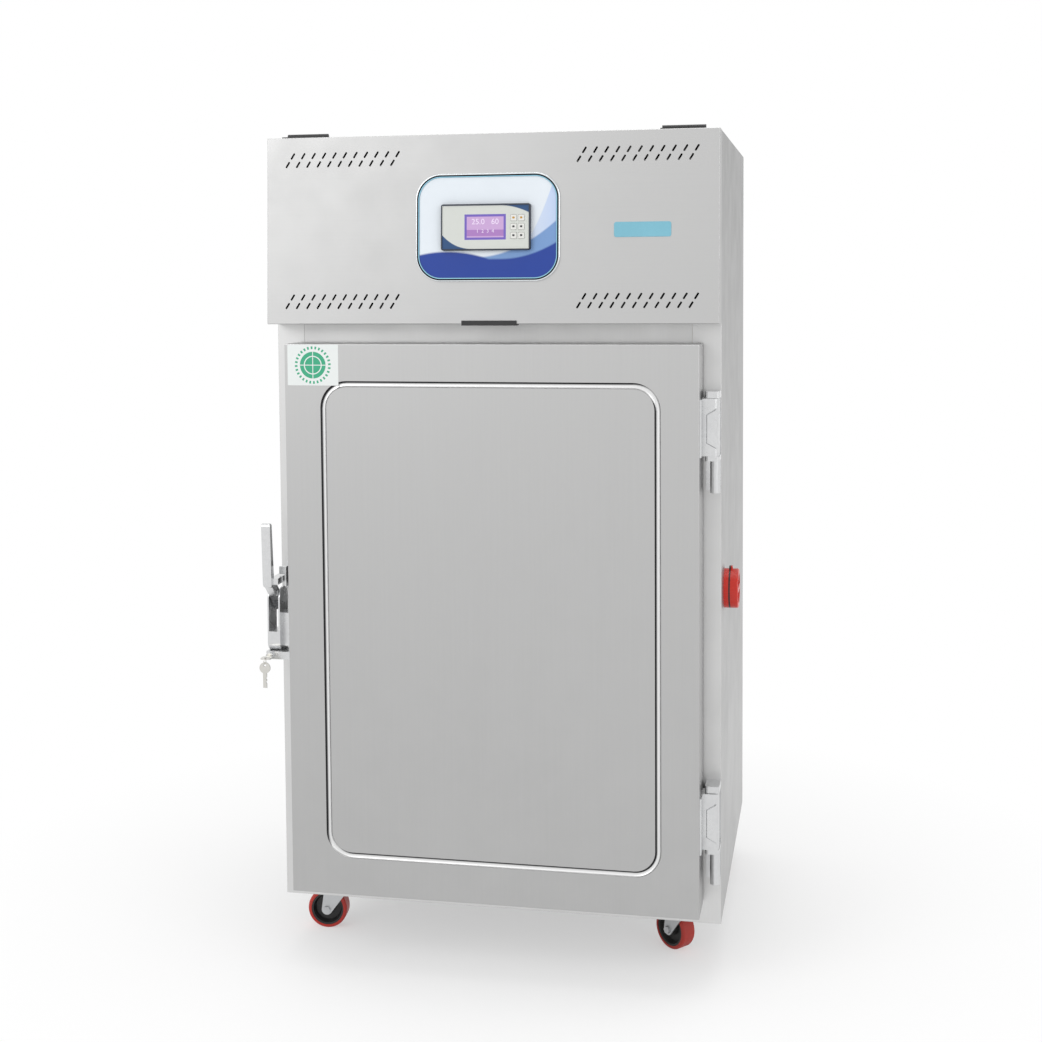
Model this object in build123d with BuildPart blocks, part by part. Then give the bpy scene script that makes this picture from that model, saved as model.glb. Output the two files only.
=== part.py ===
from build123d import *
import os
from math import atan2, cos, radians, sin, sqrt, tan

# Environmental test chamber: an insulated cabinet on castors, with a hinged door and a lift-up
# fascia over the machine compartment.
# Modelling frame: X to the right seen from the front, Y to the back, Z up, in millimetres.
# X = 0 is the middle of the cabinet, Y = 0 its front face, Z = 0 the floor.

# Cabinet
cabinet_width = 800.0
cabinet_depth = 650.0
cabinet_height = 1384.0
header_height = 329.0
sheet = 1.2
liner_sheet = 1.0
side_wall = 60.0
back_wall = 60.0
floor_wall = 62.0
ceiling_wall = 62.0
stile_width = 50.0
sill_height = 20.0
header_flange = 18.0
edge_radius = 1.0
frame_plate = 1.5
frame_gap = 0.4
chamber_corner = 8.0
rail_height = 28.0
rail_sheet = 2.0
rail_side_width = 126.0
rail_end_width = 48.0

# Door
door_side_gap = 36.0
door_top_gap = 34.0
door_offset = 4.5
door_bottom_gap = 37.5
door_thickness = 72.0
door_front = 80.0
door_sheet = 1.5
door_edge_radius = 1.4
groove_inset = 70.0
groove_corner = 42.0
groove_section = 6.0
groove_depth = 3.2
gasket_width = 14.0
gasket_margin = 4.0
seal_gap = 0.3
plug_depth = 18.0
plug_clearance = 6.0

# Fascia, the lift-up front of the machine compartment
fascia_top_depth = 38.0
fascia_bottom_depth = 54.0
fascia_sheet = 1.5
fascia_seam = 0.8
louvre_columns = 11
louvre_pitch = 19.2
slot_length = 12.5
slot_width = 3.4
slot_lean = 32.0
louvre_row_rise = 15.0
louvre_centre_x = 261.0
louvre_centre_rise = 39.7
fascia_hinge_places = (-336.3, 336.3)
fascia_hinge_y = -0.75
fascia_hinge_seat = 0.4
fascia_hinge_length = 75.0
fascia_knuckles = 5
fascia_hinge_radius = 4.5
fascia_hinge_pin = 2.0
fascia_leaf = 2.0
fascia_leaf_reach = 33.0
pull_width = 97.0
pull_offset = 3.7

# Control panel
bezel_width = 255.0
bezel_height = 187.0
bezel_radius = 45.0
bezel_rim = 6.5
bezel_stand = 3.0
panel_plate = 1.6
instrument_width = 158.0
instrument_height = 80.0
instrument_offset = -1.9
instrument_stand = 8.0
instrument_rear_width = 150.0
instrument_rear_height = 72.0
instrument_rear_depth = 45.0
instrument_rim = 3.0
instrument_recess = 1.0
window_width = 73.0
window_height = 44.0
window_glass = 1.4
key_size = 10.5
key_gap = 0.4
key_height = 4.0
key_stand = 1.0
key_travel = 0.8
key_column = 49.7
key_pitch_x = 13.5
key_pitch_z = 15.2

# Hinges of the door
hinge_inset = 8.5
hinge_front = 30.0
hinge_barrel = 8.5
hinge_pin = 4.0
running_gap = 0.06
knuckle_height = 55.0
collar_height = 9.0
cover_height = 98.0
cap_height = 12.0
hinge_plate = 3.0
hinge_strap = 3.0
hinge_gap = 0.3
hinge_levels = (188.0, 870.0)

# Latch
latch_axis_front = 28.0
latch_axis_z = 650.0
lever_width = 17.0
lever_inset = 6.0
lever_top = 808.0
lever_pin = 3.5
latch_cheek = 3.0
latch_bottom = 572.0
lock_height = 13.0
barrel_radius = 6.5
keeper_z = 702.0
keeper_height = 46.0

# Castors
wheel_radius = 37.5
wheel_width = 30.0
tread_thickness = 6.5
castor_trail = 28.0
castor_head = 29.0
castor_inset_x = 72.0
castor_inset_y = 113.0
castor_plate = 70.0
castor_pin = 5.0
axle_radius = 4.0
fork_sheet = 3.0
castor_yaws = {"front_left": 184.5, "front_right": 139.7, "rear_left": 152.0, "rear_right": 166.0}

# Side port
port_radius = 35.0
port_bore = 25.0
port_sleeve_wall = 2.0
port_y = 88.0
port_z = 683.0
port_collar = 8.0
port_cap_height = 17.0
port_plug = 8.0

# Chamber and machine compartment fittings
shelf_levels = (390.0, 620.0, 850.0)
shelf_wires = 15
shelf_wire = 2.0
shelf_rod = 3.5
shelf_side_gap = 4.0
runner_width = 18.0
runner_sheet = 1.5
duct_depth = 78.0
fan_z = 900.0
fan_radius = 70.0
fan_blades = 5
cooler_fan_radius = 98.0
bend_tube = 4.0
motor_radius = 34.0
motor_shaft = 4.0
motor_length = 40.0
spigot_x = -250.0
spigot_radius = 8.0
spigot_wall_radius = 9.0
spigot_rise = 30.0
spigot_bore = 6.0
spigot_length = 25.0
inlet_x = 250.0
inlet_rise = 70.0

# How far the finished object stands out past the cabinet's own box
front_overhang = 105.0
left_overhang = 10.0

# Derived places
half_width = cabinet_width / 2
inner_half = half_width - sheet
base_z = 2 * wheel_radius + castor_head
top_z = base_z + cabinet_height
header_z = top_z - header_height
cavity_half = half_width - side_wall
cavity_floor = base_z + floor_wall
cavity_top = header_z - ceiling_wall
cavity_back = cabinet_depth - back_wall
drain_z = cavity_floor + spigot_rise
spigot_hole = spigot_wall_radius + 0.3
liner_half = cavity_half + liner_sheet
liner_back = cavity_back + liner_sheet
stile_inner = half_width - stile_width
frame_half = stile_inner - frame_gap
deck_z = header_z - sheet
back_inside = cabinet_depth - sheet
insulation_floor = base_z + sheet + rail_height
door_left = door_offset - half_width + door_side_gap
door_right = door_offset + half_width - door_side_gap
door_bottom = base_z + door_bottom_gap
door_top = header_z - door_top_gap
door_back = -(door_front - door_thickness)
right_overhang = port_collar + port_cap_height
to_frame = Pos(
    (left_overhang - right_overhang) / 2,
    (front_overhang - cabinet_depth - spigot_length) / 2,
    0,
)

os.makedirs("parts", exist_ok=True)


def facing(y):
    """A plane parallel to the cabinet's front at depth y, with its normal to the front."""
    return Plane.XZ.offset(-y)


def across(x):
    """A plane parallel to the cabinet's sides at x: its own axes are Y and Z."""
    return Plane.YZ.offset(x)


def level(z):
    """A horizontal plane at height z."""
    return Plane.XY.offset(z)


def span(a0, a1, b0, b1, mode=Mode.ADD):
    """A rectangle from two corners in the current sketch."""
    with Locations(((a0 + a1) / 2, (b0 + b1) / 2)):
        Rectangle(a1 - a0, b1 - b0, mode=mode)


def block(x0, x1, y0, y1, z0, z1, mode=Mode.ADD):
    """A box from two corners in the current part."""
    with Locations(((x0 + x1) / 2, (y0 + y1) / 2, (z0 + z1) / 2)):
        Box(x1 - x0, y1 - y0, z1 - z0, mode=mode)


def keep(piece, name, place=Pos(0, 0, 0)):
    """Label a finished piece, move it to its place in the object and write it."""
    placed = to_frame * place * piece.part
    placed.label = name
    export_step(placed, f"parts/{name}.step")


# The casing is a folded tube of sheet, open at the back, with flanges turned in at the front.
# A shallow pressed seat takes the fixed leaf of each fascia hinge.
port_hole = port_bore + port_sleeve_wall + 0.3
with BuildPart() as outer_casing:
    with BuildSketch(facing(0)):
        span(-half_width, half_width, base_z, top_z)
    extrude(amount=-cabinet_depth)
    fillet(outer_casing.edges().filter_by(Axis.Y), edge_radius)
    fillet(outer_casing.faces().sort_by(Axis.Y)[0].edges(), edge_radius)
    with BuildSketch(facing(sheet)):
        span(-inner_half, inner_half, base_z + sheet, top_z - sheet)
    extrude(amount=-cabinet_depth, mode=Mode.SUBTRACT)
    with BuildSketch(facing(0)):
        header_inner = half_width - header_flange
        span(-stile_inner, stile_inner, base_z + sill_height, header_z)
        span(-header_inner, header_inner, header_z, top_z - header_flange)
    extrude(amount=-sheet, mode=Mode.SUBTRACT)
    with BuildSketch(across(half_width)):
        with Locations((port_y, port_z)):
            Circle(port_hole)
    extrude(amount=-2 * sheet, mode=Mode.SUBTRACT)
    seat_half = fascia_hinge_length / 2 + hinge_gap
    for x in fascia_hinge_places:
        block(
            x - seat_half, x + seat_half, -1, fascia_hinge_y + fascia_leaf_reach + hinge_gap,
            top_z - fascia_hinge_seat, top_z + 1, mode=Mode.SUBTRACT,
        )
keep(outer_casing, "outer_casing")

# The frame that the door closes on fills the front between the casing's stiles.
with BuildPart() as front_frame:
    with BuildSketch(facing(0)):
        span(-frame_half, frame_half, base_z + sill_height + frame_gap, header_z - frame_gap)
    extrude(amount=-frame_plate)
    with BuildSketch(facing(0)) as frame_mouth:
        span(-cavity_half, cavity_half, cavity_floor, cavity_top)
        fillet(frame_mouth.vertices(), chamber_corner)
    extrude(amount=-frame_plate, mode=Mode.SUBTRACT)
keep(front_frame, "front_frame")

vent_columns = 7
vent_rows = 9
vent_pitch_x = 58.0
vent_pitch_z = 18.0
with BuildPart() as back_panel:
    fit = 0.3
    with BuildSketch(facing(back_inside)):
        span(-inner_half + fit, inner_half - fit, base_z + sheet + fit, top_z - sheet - fit)
        with Locations((0, header_z + header_height * 0.45)):
            with GridLocations(vent_pitch_x, vent_pitch_z, vent_columns, vent_rows):
                Rectangle(44, 6, mode=Mode.SUBTRACT)
        with Locations((spigot_x, drain_z)):
            Circle(spigot_hole, mode=Mode.SUBTRACT)
        with Locations((inlet_x, header_z + inlet_rise)):
            Rectangle(47.6, 27.6, mode=Mode.SUBTRACT)
    extrude(amount=-sheet)
keep(back_panel, "back_panel")

# The liner is the chamber itself, a deep tray open at the front.
with BuildPart() as inner_liner:
    with BuildSketch(facing(frame_plate)) as liner_outside:
        span(-liner_half, liner_half, cavity_floor - liner_sheet, cavity_top + liner_sheet)
        fillet(liner_outside.vertices(), chamber_corner + liner_sheet)
    extrude(amount=-(liner_back - frame_plate))
    with BuildSketch(facing(frame_plate)) as liner_inside:
        span(-cavity_half, cavity_half, cavity_floor, cavity_top)
        fillet(liner_inside.vertices(), chamber_corner)
    extrude(amount=-(cavity_back - frame_plate), mode=Mode.SUBTRACT)
    with BuildSketch(across(liner_half)):
        with Locations((port_y, port_z)):
            Circle(port_hole)
    extrude(amount=-2 * liner_sheet, mode=Mode.SUBTRACT)
    with BuildSketch(facing(cavity_back)):
        with Locations((spigot_x, drain_z)):
            Circle(spigot_hole)
    extrude(amount=-2 * liner_sheet, mode=Mode.SUBTRACT)
keep(inner_liner, "inner_liner")

with BuildPart() as cabinet_insulation:
    with BuildSketch(facing(frame_plate)):
        span(-inner_half, inner_half, insulation_floor, deck_z)
    extrude(amount=-(back_inside - frame_plate))
    with BuildSketch(facing(frame_plate)) as liner_room:
        span(-liner_half, liner_half, cavity_floor - liner_sheet, cavity_top + liner_sheet)
        fillet(liner_room.vertices(), chamber_corner + liner_sheet)
    extrude(amount=-(liner_back - frame_plate), mode=Mode.SUBTRACT)
    with BuildSketch(across(half_width)):
        with Locations((port_y, port_z)):
            Circle(port_hole)
    extrude(amount=-side_wall, mode=Mode.SUBTRACT)
    with BuildSketch(facing(cavity_back)):
        with Locations((spigot_x, drain_z)):
            Circle(spigot_hole)
    extrude(amount=-back_wall, mode=Mode.SUBTRACT)
keep(cabinet_insulation, "cabinet_insulation")

# The floor of the machine compartment lies on the insulation over the chamber.
with BuildPart() as machine_deck:
    with BuildSketch(level(deck_z)):
        span(-inner_half + 0.3, inner_half - 0.3, frame_plate + 0.3, back_inside - 0.3)
    extrude(amount=sheet)
keep(machine_deck, "machine_deck")

# A ladder of inverted channels stiffens the bottom over the castors.
with BuildPart() as base_frame:
    rail_x = inner_half - 10
    rail_y0 = 12.0
    rail_y1 = back_inside - 10
    for inset, mode in ((0, Mode.ADD), (rail_sheet, Mode.SUBTRACT)):
        with BuildSketch(level(base_z + sheet)):
            span(-rail_x + inset, rail_x - inset, rail_y0 + inset, rail_y1 - inset)
            window_x = rail_x - rail_side_width + inset
            span(
                -window_x, window_x,
                rail_y0 + rail_end_width - inset, rail_y1 - rail_end_width + inset,
                mode=Mode.SUBTRACT,
            )
        extrude(amount=rail_height - inset, mode=mode)
keep(base_frame, "base_frame")


# The door skin is a pan of sheet with a pressed groove that runs round it.
groove_x0 = door_left + groove_inset
groove_x1 = door_right - groove_inset
groove_z0 = door_bottom + groove_inset + 2
groove_z1 = door_top - groove_inset
groove_lift = groove_section - groove_depth
with BuildSketch(facing(-door_front - groove_lift)) as groove_outline:
    with Locations(((groove_x0 + groove_x1) / 2, (groove_z0 + groove_z1) / 2)):
        RectangleRounded(groove_x1 - groove_x0, groove_z1 - groove_z0, groove_corner)
groove_path = groove_outline.sketch.faces()[0].outer_wire()
groove_start = Plane(origin=groove_path @ 0, z_dir=groove_path % 0)

with BuildPart() as groove_backing:
    with BuildSketch(groove_start):
        Circle(groove_section + door_sheet)
    sweep(path=groove_path)
    front_room = groove_section + groove_lift + 10
    block(
        door_left, door_right, -door_front - front_room, -door_front + 0.5,
        door_bottom, door_top, mode=Mode.SUBTRACT,
    )

with BuildPart() as groove_tool:
    with BuildSketch(groove_start):
        Circle(groove_section)
    sweep(path=groove_path)

with BuildPart() as door_skin:
    with BuildSketch(facing(-door_front)):
        span(door_left, door_right, door_bottom, door_top)
    extrude(amount=-door_thickness)
    fillet(door_skin.edges().filter_by(Axis.Y), door_edge_radius)
    fillet(door_skin.faces().sort_by(Axis.Y)[0].edges(), door_edge_radius)
    with BuildSketch(facing(-door_front + door_sheet)):
        span(
            door_left + door_sheet, door_right - door_sheet,
            door_bottom + door_sheet, door_top - door_sheet,
        )
    extrude(amount=-door_thickness, mode=Mode.SUBTRACT)
    add(groove_backing.part)
    add(groove_tool.part, mode=Mode.SUBTRACT)
keep(door_skin, "door_skin")

# The back of the door is a tray whose raised middle enters the chamber's mouth.
plug_half = cavity_half - plug_clearance
plug_z0 = cavity_floor + plug_clearance
plug_z1 = cavity_top - plug_clearance
plug_back = door_back + plug_depth
with BuildPart() as door_liner:
    with BuildSketch(facing(door_back)):
        span(door_left + 0.5, door_right - 0.5, door_bottom + 0.5, door_top - 0.5)
    extrude(amount=-liner_sheet)
    with BuildSketch(facing(door_back)) as plug_outside:
        span(-plug_half, plug_half, plug_z0, plug_z1)
        fillet(plug_outside.vertices(), 2 * chamber_corner)
    extrude(amount=-plug_depth)
    fillet(door_liner.faces().sort_by(Axis.Y)[-1].edges(), 4)
    with BuildSketch(facing(door_back)) as plug_inside:
        span(-plug_half + liner_sheet, plug_half - liner_sheet, plug_z0 + liner_sheet, plug_z1 - liner_sheet)
        fillet(plug_inside.vertices(), 2 * chamber_corner - liner_sheet)
    extrude(amount=-(plug_depth - 4), mode=Mode.SUBTRACT)
keep(door_liner, "door_liner")

foam_front = -door_front + door_sheet + groove_depth + 1
with BuildPart() as door_insulation:
    with BuildSketch(facing(foam_front)):
        span(
            door_left + door_sheet, door_right - door_sheet,
            door_bottom + door_sheet, door_top - door_sheet,
        )
    extrude(amount=foam_front - door_back)
    with BuildSketch(facing(door_back)) as foam_plug:
        span(-plug_half + liner_sheet, plug_half - liner_sheet, plug_z0 + liner_sheet, plug_z1 - liner_sheet)
        fillet(foam_plug.vertices(), 2 * chamber_corner - liner_sheet)
    extrude(amount=-(plug_depth - 4))
keep(door_insulation, "door_insulation")

# The seal runs round the chamber's mouth, with a rounded nose towards the frame.
seal_x0 = cavity_half + gasket_margin
seal_x1 = seal_x0 + gasket_width
seal_back = door_back + liner_sheet
with BuildPart() as door_gasket:
    with BuildSketch(facing(seal_back)):
        span(
            -seal_x1, seal_x1,
            cavity_floor - gasket_margin - gasket_width, cavity_top + gasket_margin + gasket_width,
        )
        span(
            -seal_x0, seal_x0, cavity_floor - gasket_margin, cavity_top + gasket_margin,
            mode=Mode.SUBTRACT,
        )
    extrude(amount=seal_back + seal_gap)
    fillet(door_gasket.faces().sort_by(Axis.Y)[-1].edges(), 3)
keep(door_gasket, "door_gasket")


# Door hinges: the fixed leaf carries the pin, the moving cover turns on it.
hinge_x = half_width - hinge_inset
hinge_y = -hinge_front
cover_left = door_right + hinge_strap
leaf_x0 = half_width - 26
leaf_x1 = half_width - 0.5
hinge_height = knuckle_height + collar_height + cover_height + cap_height
with BuildPart() as hinge_frame_leaves:
    for bottom in hinge_levels:
        collar_z = bottom + knuckle_height
        cover_z = collar_z + collar_height
        cap_z = cover_z + cover_height
        block(leaf_x0, leaf_x1, -hinge_plate, 0, bottom, bottom + hinge_height)
        with BuildSketch(level(bottom)):
            with Locations((hinge_x, hinge_y)):
                Circle(hinge_barrel)
            span(hinge_x - 6, leaf_x1 - 1, hinge_y, -hinge_plate)
        extrude(amount=knuckle_height)
        for z, rise in ((collar_z, collar_height - hinge_gap), (cap_z + hinge_gap, cap_height - hinge_gap)):
            with BuildSketch(level(z)) as arm:
                span(leaf_x0 + 1, leaf_x1, hinge_y - 12, -hinge_plate)
                fillet(arm.vertices().group_by(Axis.Y)[0], 5)
            extrude(amount=rise)
        with BuildSketch(level(collar_z)):
            with Locations((hinge_x, hinge_y)):
                Circle(hinge_pin)
        extrude(amount=collar_height + cover_height + cap_height)
keep(hinge_frame_leaves, "hinge_frame_leaves")

cover_front = hinge_y - 16
cover_back = hinge_y + 16
cover_right = half_width - 1.5
with BuildPart() as hinge_door_leaves:
    for bottom in hinge_levels:
        cover_z = bottom + knuckle_height + collar_height
        with BuildSketch(level(cover_z)) as cover_plan:
            span(cover_left, cover_right, cover_front, cover_back)
            fillet(cover_plan.vertices().group_by(Axis.X)[-1], 9)
        extrude(amount=cover_height)
        block(door_right, cover_left, -door_front + 6, door_back - 4, cover_z, cover_z + cover_height)
        with BuildSketch(facing(cover_front)):
            with BuildLine():
                Polyline(
                    (cover_right - 3, cover_z + 12),
                    (cover_right - 3, cover_z + 82),
                    (cover_left + 6, cover_z + 71),
                    (cover_left + 6, cover_z + 22),
                    close=True,
                )
            make_face()
        extrude(amount=2.2, taper=35)
        with BuildSketch(level(cover_z)):
            with Locations((hinge_x, hinge_y)):
                Circle(hinge_pin + running_gap)
        extrude(amount=cover_height, mode=Mode.SUBTRACT)
keep(hinge_door_leaves, "hinge_door_leaves")


# Latch on the door's left edge. The lever turns on a pin in the body's two cheeks, and its
# prong lies behind the keeper's lip.
lever_x0 = -half_width - left_overhang + lever_inset + 1.5
lever_x1 = lever_x0 + lever_width
body_x0 = lever_x0 - latch_cheek - 0.5
body_x1 = lever_x1 + latch_cheek + 0.5
latch_y = -latch_axis_front
grip_y = latch_y - 60
grip_base_z = latch_axis_z + 56
with BuildPart() as latch_body:
    with BuildSketch(across(body_x0)) as body_side:
        with Locations((latch_y - 14, latch_axis_z + 16)):
            Circle(21)
        with Locations((latch_y - 20, latch_bottom + 16)):
            Circle(16)
        with Locations((latch_y, latch_bottom + 3)):
            Rectangle(8, 6)
        make_hull(body_side.edges())
    extrude(amount=body_x1 - body_x0)
    fillet(latch_body.faces().sort_by(Axis.X)[0].edges(), 2)
    block(
        lever_x0 - 0.5, lever_x1 + 0.5, -door_front, 0, latch_bottom + 36, latch_axis_z + 60,
        mode=Mode.SUBTRACT,
    )
    block(body_x1, door_left - hinge_strap, latch_y - 22, latch_y + 6, latch_bottom + 8, latch_axis_z - 10)
    block(
        door_left - hinge_strap, door_left, -door_front + 8, door_back - 8,
        latch_bottom - lock_height, latch_axis_z + 44,
    )
    block(body_x0 - 1, door_left - hinge_strap, -68, -32, latch_bottom - lock_height, latch_bottom + 1)
    with BuildSketch(across(body_x0)):
        with Locations((latch_y, latch_axis_z)):
            Circle(lever_pin)
    extrude(amount=body_x1 - body_x0)
    lock_x = -half_width + 0.5
    lock_z = latch_bottom - lock_height / 2
    with BuildSketch(facing(-62)):
        with Locations((lock_x, lock_z)):
            Circle(barrel_radius)
    extrude(amount=12)
    with BuildSketch(facing(-74)):
        with Locations((lock_x, lock_z)):
            Circle(4.5)
    extrude(amount=-20, mode=Mode.SUBTRACT)
keep(latch_body, "latch_body")

with BuildPart() as latch_lever:
    with BuildSketch(across(lever_x0)) as neck_side:
        with Locations((latch_y, latch_axis_z)):
            Circle(9)
        with Locations((grip_y + 4, grip_base_z - 4)):
            Circle(8)
        make_hull(neck_side.edges())
    extrude(amount=lever_width)
    with BuildSketch(across(lever_x0)) as grip_side:
        with Locations((grip_y + 2, grip_base_z - 6)):
            Circle(8)
        with Locations((grip_y - 4, lever_top - 6)):
            Circle(6)
        make_hull(grip_side.edges())
    extrude(amount=lever_width)
    fillet(latch_lever.faces().sort_by(Axis.X)[0].edges(), 2.5)
    fillet(latch_lever.faces().sort_by(Axis.X)[-1].edges(), 2.5)
    block(lever_x1 - 6, lever_x1 + 10, grip_y, latch_y - 12, grip_base_z - 8, grip_base_z + 3)
    with BuildSketch(across(lever_x0)):
        with Locations((latch_y, latch_axis_z)):
            Circle(lever_pin + running_gap)
    extrude(amount=lever_width, mode=Mode.SUBTRACT)
keep(latch_lever, "latch_lever")

lip_z = grip_base_z + 5.5
keeper_x0 = -half_width + 12
keeper_x1 = keeper_x0 + 17
with BuildPart() as latch_keeper:
    block(keeper_x0 - 2, keeper_x1, -3, 0, keeper_z - keeper_height / 2, keeper_z + keeper_height / 2)
    block(keeper_x1 - 3, keeper_x1, -58, 0, lip_z - 22, keeper_z + keeper_height / 2)
    block(keeper_x0 + 4, keeper_x1, -58, -53, lip_z, keeper_z + keeper_height / 2)
keep(latch_keeper, "latch_keeper")

# The key stands in the lock's turning plug, with a spare on a ring through its bow.
bow_hole_y = -92.0
bow_end_y = -97.0
key_sheet = 2.0
with BuildPart() as lock_key:
    with BuildSketch(facing(-55)):
        with Locations((lock_x, lock_z)):
            Circle(4.5 - running_gap)
    extrude(amount=19.5)
    with BuildSketch(level(lock_z - key_sheet / 2)) as bow_plan:
        with Locations((lock_x, bow_end_y + 9)):
            Rectangle(18, 18)
            fillet(bow_plan.vertices(), 4)
        with Locations((lock_x, -74)):
            Rectangle(7, 14)
        with Locations((lock_x, bow_hole_y)):
            Circle(2.6, mode=Mode.SUBTRACT)
    extrude(amount=key_sheet)
keep(lock_key, "lock_key")

ring_radius = 5.5
ring_wire = 0.8
ring_z = lock_z + key_sheet / 2 + ring_wire + 0.3 - ring_radius
ring_y = bow_hole_y - sqrt(ring_radius**2 - (lock_z - ring_z) ** 2)
spare_hole_z = ring_z - ring_radius - 2.6 + ring_wire + 0.2
with BuildPart() as spare_key:
    with BuildSketch(Plane(origin=(lock_x, ring_y, ring_z + ring_radius), z_dir=(0, 1, 0))):
        Circle(ring_wire)
    revolve(axis=Axis((lock_x, ring_y, ring_z), (1, 0, 0)))
    with BuildSketch(facing(ring_y - key_sheet / 2)):
        with Locations((lock_x, spare_hole_z - 5.2)):
            Circle(10)
        with Locations((lock_x, spare_hole_z - 28)):
            Rectangle(7, 26)
        with Locations((lock_x + 3.5, spare_hole_z - 24), (lock_x + 3.5, spare_hole_z - 31)):
            Rectangle(3, 3, rotation=45, mode=Mode.SUBTRACT)
        with Locations((lock_x, spare_hole_z)):
            Circle(2.6, mode=Mode.SUBTRACT)
    extrude(amount=-key_sheet)
keep(spare_key, "spare_key")


# Fascia: its face leans, so everything on it is built on a plane of its own.
lean = atan2(fascia_bottom_depth - fascia_top_depth, header_height)
out_y = -cos(lean)
out_z = sin(lean)
panel_x = 0.75
panel_rise = 167.0
fascia_face = Plane(
    origin=(0, -fascia_bottom_depth, header_z), x_dir=(1, 0, 0), z_dir=(0, out_y, out_z),
)


def on_fascia(out):
    """The plane of the fascia's face, moved outwards by a distance."""
    return fascia_face.offset(out)


def front_edges(piece):
    """The edges round a piece's outermost face on the fascia."""
    outward = Axis((0, 0, 0), (0, out_y, out_z))
    return piece.faces().sort_by(outward)[-1].edges()


def fascia_depth(z):
    """How far back the fascia's face lies at height z."""
    return -fascia_bottom_depth + (z - header_z) * tan(lean)


instrument_x = panel_x + instrument_offset
with BuildPart() as fascia_panel:
    with BuildSketch(across(-half_width)):
        with BuildLine():
            Polyline(
                (-fascia_bottom_depth, header_z),
                (-fascia_top_depth, top_z),
                (-fascia_seam, top_z),
                (-fascia_seam, header_z),
                close=True,
            )
        make_face()
    extrude(amount=cabinet_width)
    fillet(fascia_panel.faces().sort_by(Axis.Y)[0].edges(), 1.2)
    inner_z0 = header_z + fascia_sheet
    inner_z1 = top_z - fascia_sheet
    inward = fascia_sheet / cos(lean)
    with BuildSketch(across(-half_width + fascia_sheet)):
        with BuildLine():
            Polyline(
                (fascia_depth(inner_z0) + inward, inner_z0),
                (fascia_depth(inner_z1) + inward, inner_z1),
                (10, inner_z1),
                (10, inner_z0),
                close=True,
            )
        make_face()
    extrude(amount=cabinet_width - 2 * fascia_sheet, mode=Mode.SUBTRACT)
    row_shift = louvre_row_rise * tan(radians(slot_lean)) / 2
    with BuildSketch(on_fascia(0)) as slots:
        for x in (-louvre_centre_x, louvre_centre_x):
            for rise in (louvre_centre_rise, header_height - louvre_centre_rise):
                for row in (-1, 1):
                    with Locations((x + row * row_shift, rise + row * louvre_row_rise / 2)):
                        with GridLocations(louvre_pitch, 0, louvre_columns, 1):
                            Rectangle(slot_length, slot_width, rotation=90 - slot_lean)
        chamfer(slots.vertices(), slot_width * 0.3)
        with Locations((instrument_x, panel_rise)):
            Rectangle(instrument_rear_width + 1, instrument_rear_height + 1)
    extrude(amount=-3 * fascia_sheet, mode=Mode.SUBTRACT)
keep(fascia_panel, "fascia_panel")

pull_x = pull_offset
with BuildPart() as fascia_pull:
    with BuildSketch(across(pull_x - pull_width / 2)):
        with BuildLine():
            Polyline(
                (-fascia_bottom_depth - 2.2, header_z + 6),
                (-fascia_bottom_depth, header_z + 6),
                (-fascia_bottom_depth, header_z),
                (-fascia_bottom_depth + 22, header_z),
                (-fascia_bottom_depth + 22, header_z - 2.6),
                (-fascia_bottom_depth - 2.2, header_z - 2.6),
                close=True,
            )
        make_face()
    extrude(amount=pull_width)
    fillet(fascia_pull.edges().filter_by(Axis.X).group_by(Axis.Y)[0], 0.8)
keep(fascia_pull, "fascia_pull")

# Butt hinges lie open on the top, one leaf on the casing and one on the fascia.
fascia_axis_y = fascia_hinge_y
fascia_axis_z = top_z + fascia_hinge_radius + 0.3
knuckle_length = fascia_hinge_length / fascia_knuckles
for side, name in ((1, "fascia_hinge_fixed_leaves"), (-1, "fascia_hinge_moving_leaves")):
    fixed = side > 0
    leaf_z = top_z - fascia_hinge_seat if fixed else top_z
    with BuildPart() as leaves:
        for x in fascia_hinge_places:
            x0 = x - fascia_hinge_length / 2
            near = fascia_axis_y + side * (fascia_hinge_radius + 0.4)
            far = fascia_axis_y + side * fascia_leaf_reach
            block(
                x0, x0 + fascia_hinge_length, min(near, far), max(near, far),
                leaf_z, leaf_z + fascia_leaf,
            )
            for knuckle in range(0 if fixed else 1, fascia_knuckles, 2):
                start = x0 + knuckle * knuckle_length + hinge_gap / 2
                with BuildSketch(across(start)):
                    with Locations((fascia_axis_y, fascia_axis_z)):
                        Circle(fascia_hinge_radius)
                    root = fascia_axis_y + side
                    span(min(root, near), max(root, near), leaf_z, leaf_z + fascia_leaf)
                extrude(amount=knuckle_length - hinge_gap)
            with BuildSketch(across(x0 + hinge_gap / 2)):
                with Locations((fascia_axis_y, fascia_axis_z)):
                    Circle(fascia_hinge_pin if fixed else fascia_hinge_pin + running_gap)
            extrude(
                amount=fascia_hinge_length - hinge_gap,
                mode=Mode.ADD if fixed else Mode.SUBTRACT,
            )
            with BuildSketch(level(leaf_z + fascia_leaf)):
                with Locations((x, (near + far) / 2)):
                    with GridLocations(fascia_hinge_length - 24, 0, 2, 1):
                        Circle(4.2)
            extrude(amount=0.9, taper=30)
    keep(leaves, name)

with BuildPart() as control_bezel:
    with BuildSketch(on_fascia(0)):
        with Locations((panel_x, panel_rise)):
            RectangleRounded(bezel_width, bezel_height, bezel_radius)
    extrude(amount=bezel_stand)
    fillet(front_edges(control_bezel), 1.8)
    with BuildSketch(on_fascia(0)):
        with Locations((panel_x, panel_rise)):
            RectangleRounded(
                bezel_width - 2 * bezel_rim, bezel_height - 2 * bezel_rim, bezel_radius - bezel_rim,
            )
    extrude(amount=2 * bezel_stand, mode=Mode.SUBTRACT)
keep(control_bezel, "control_bezel")

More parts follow.
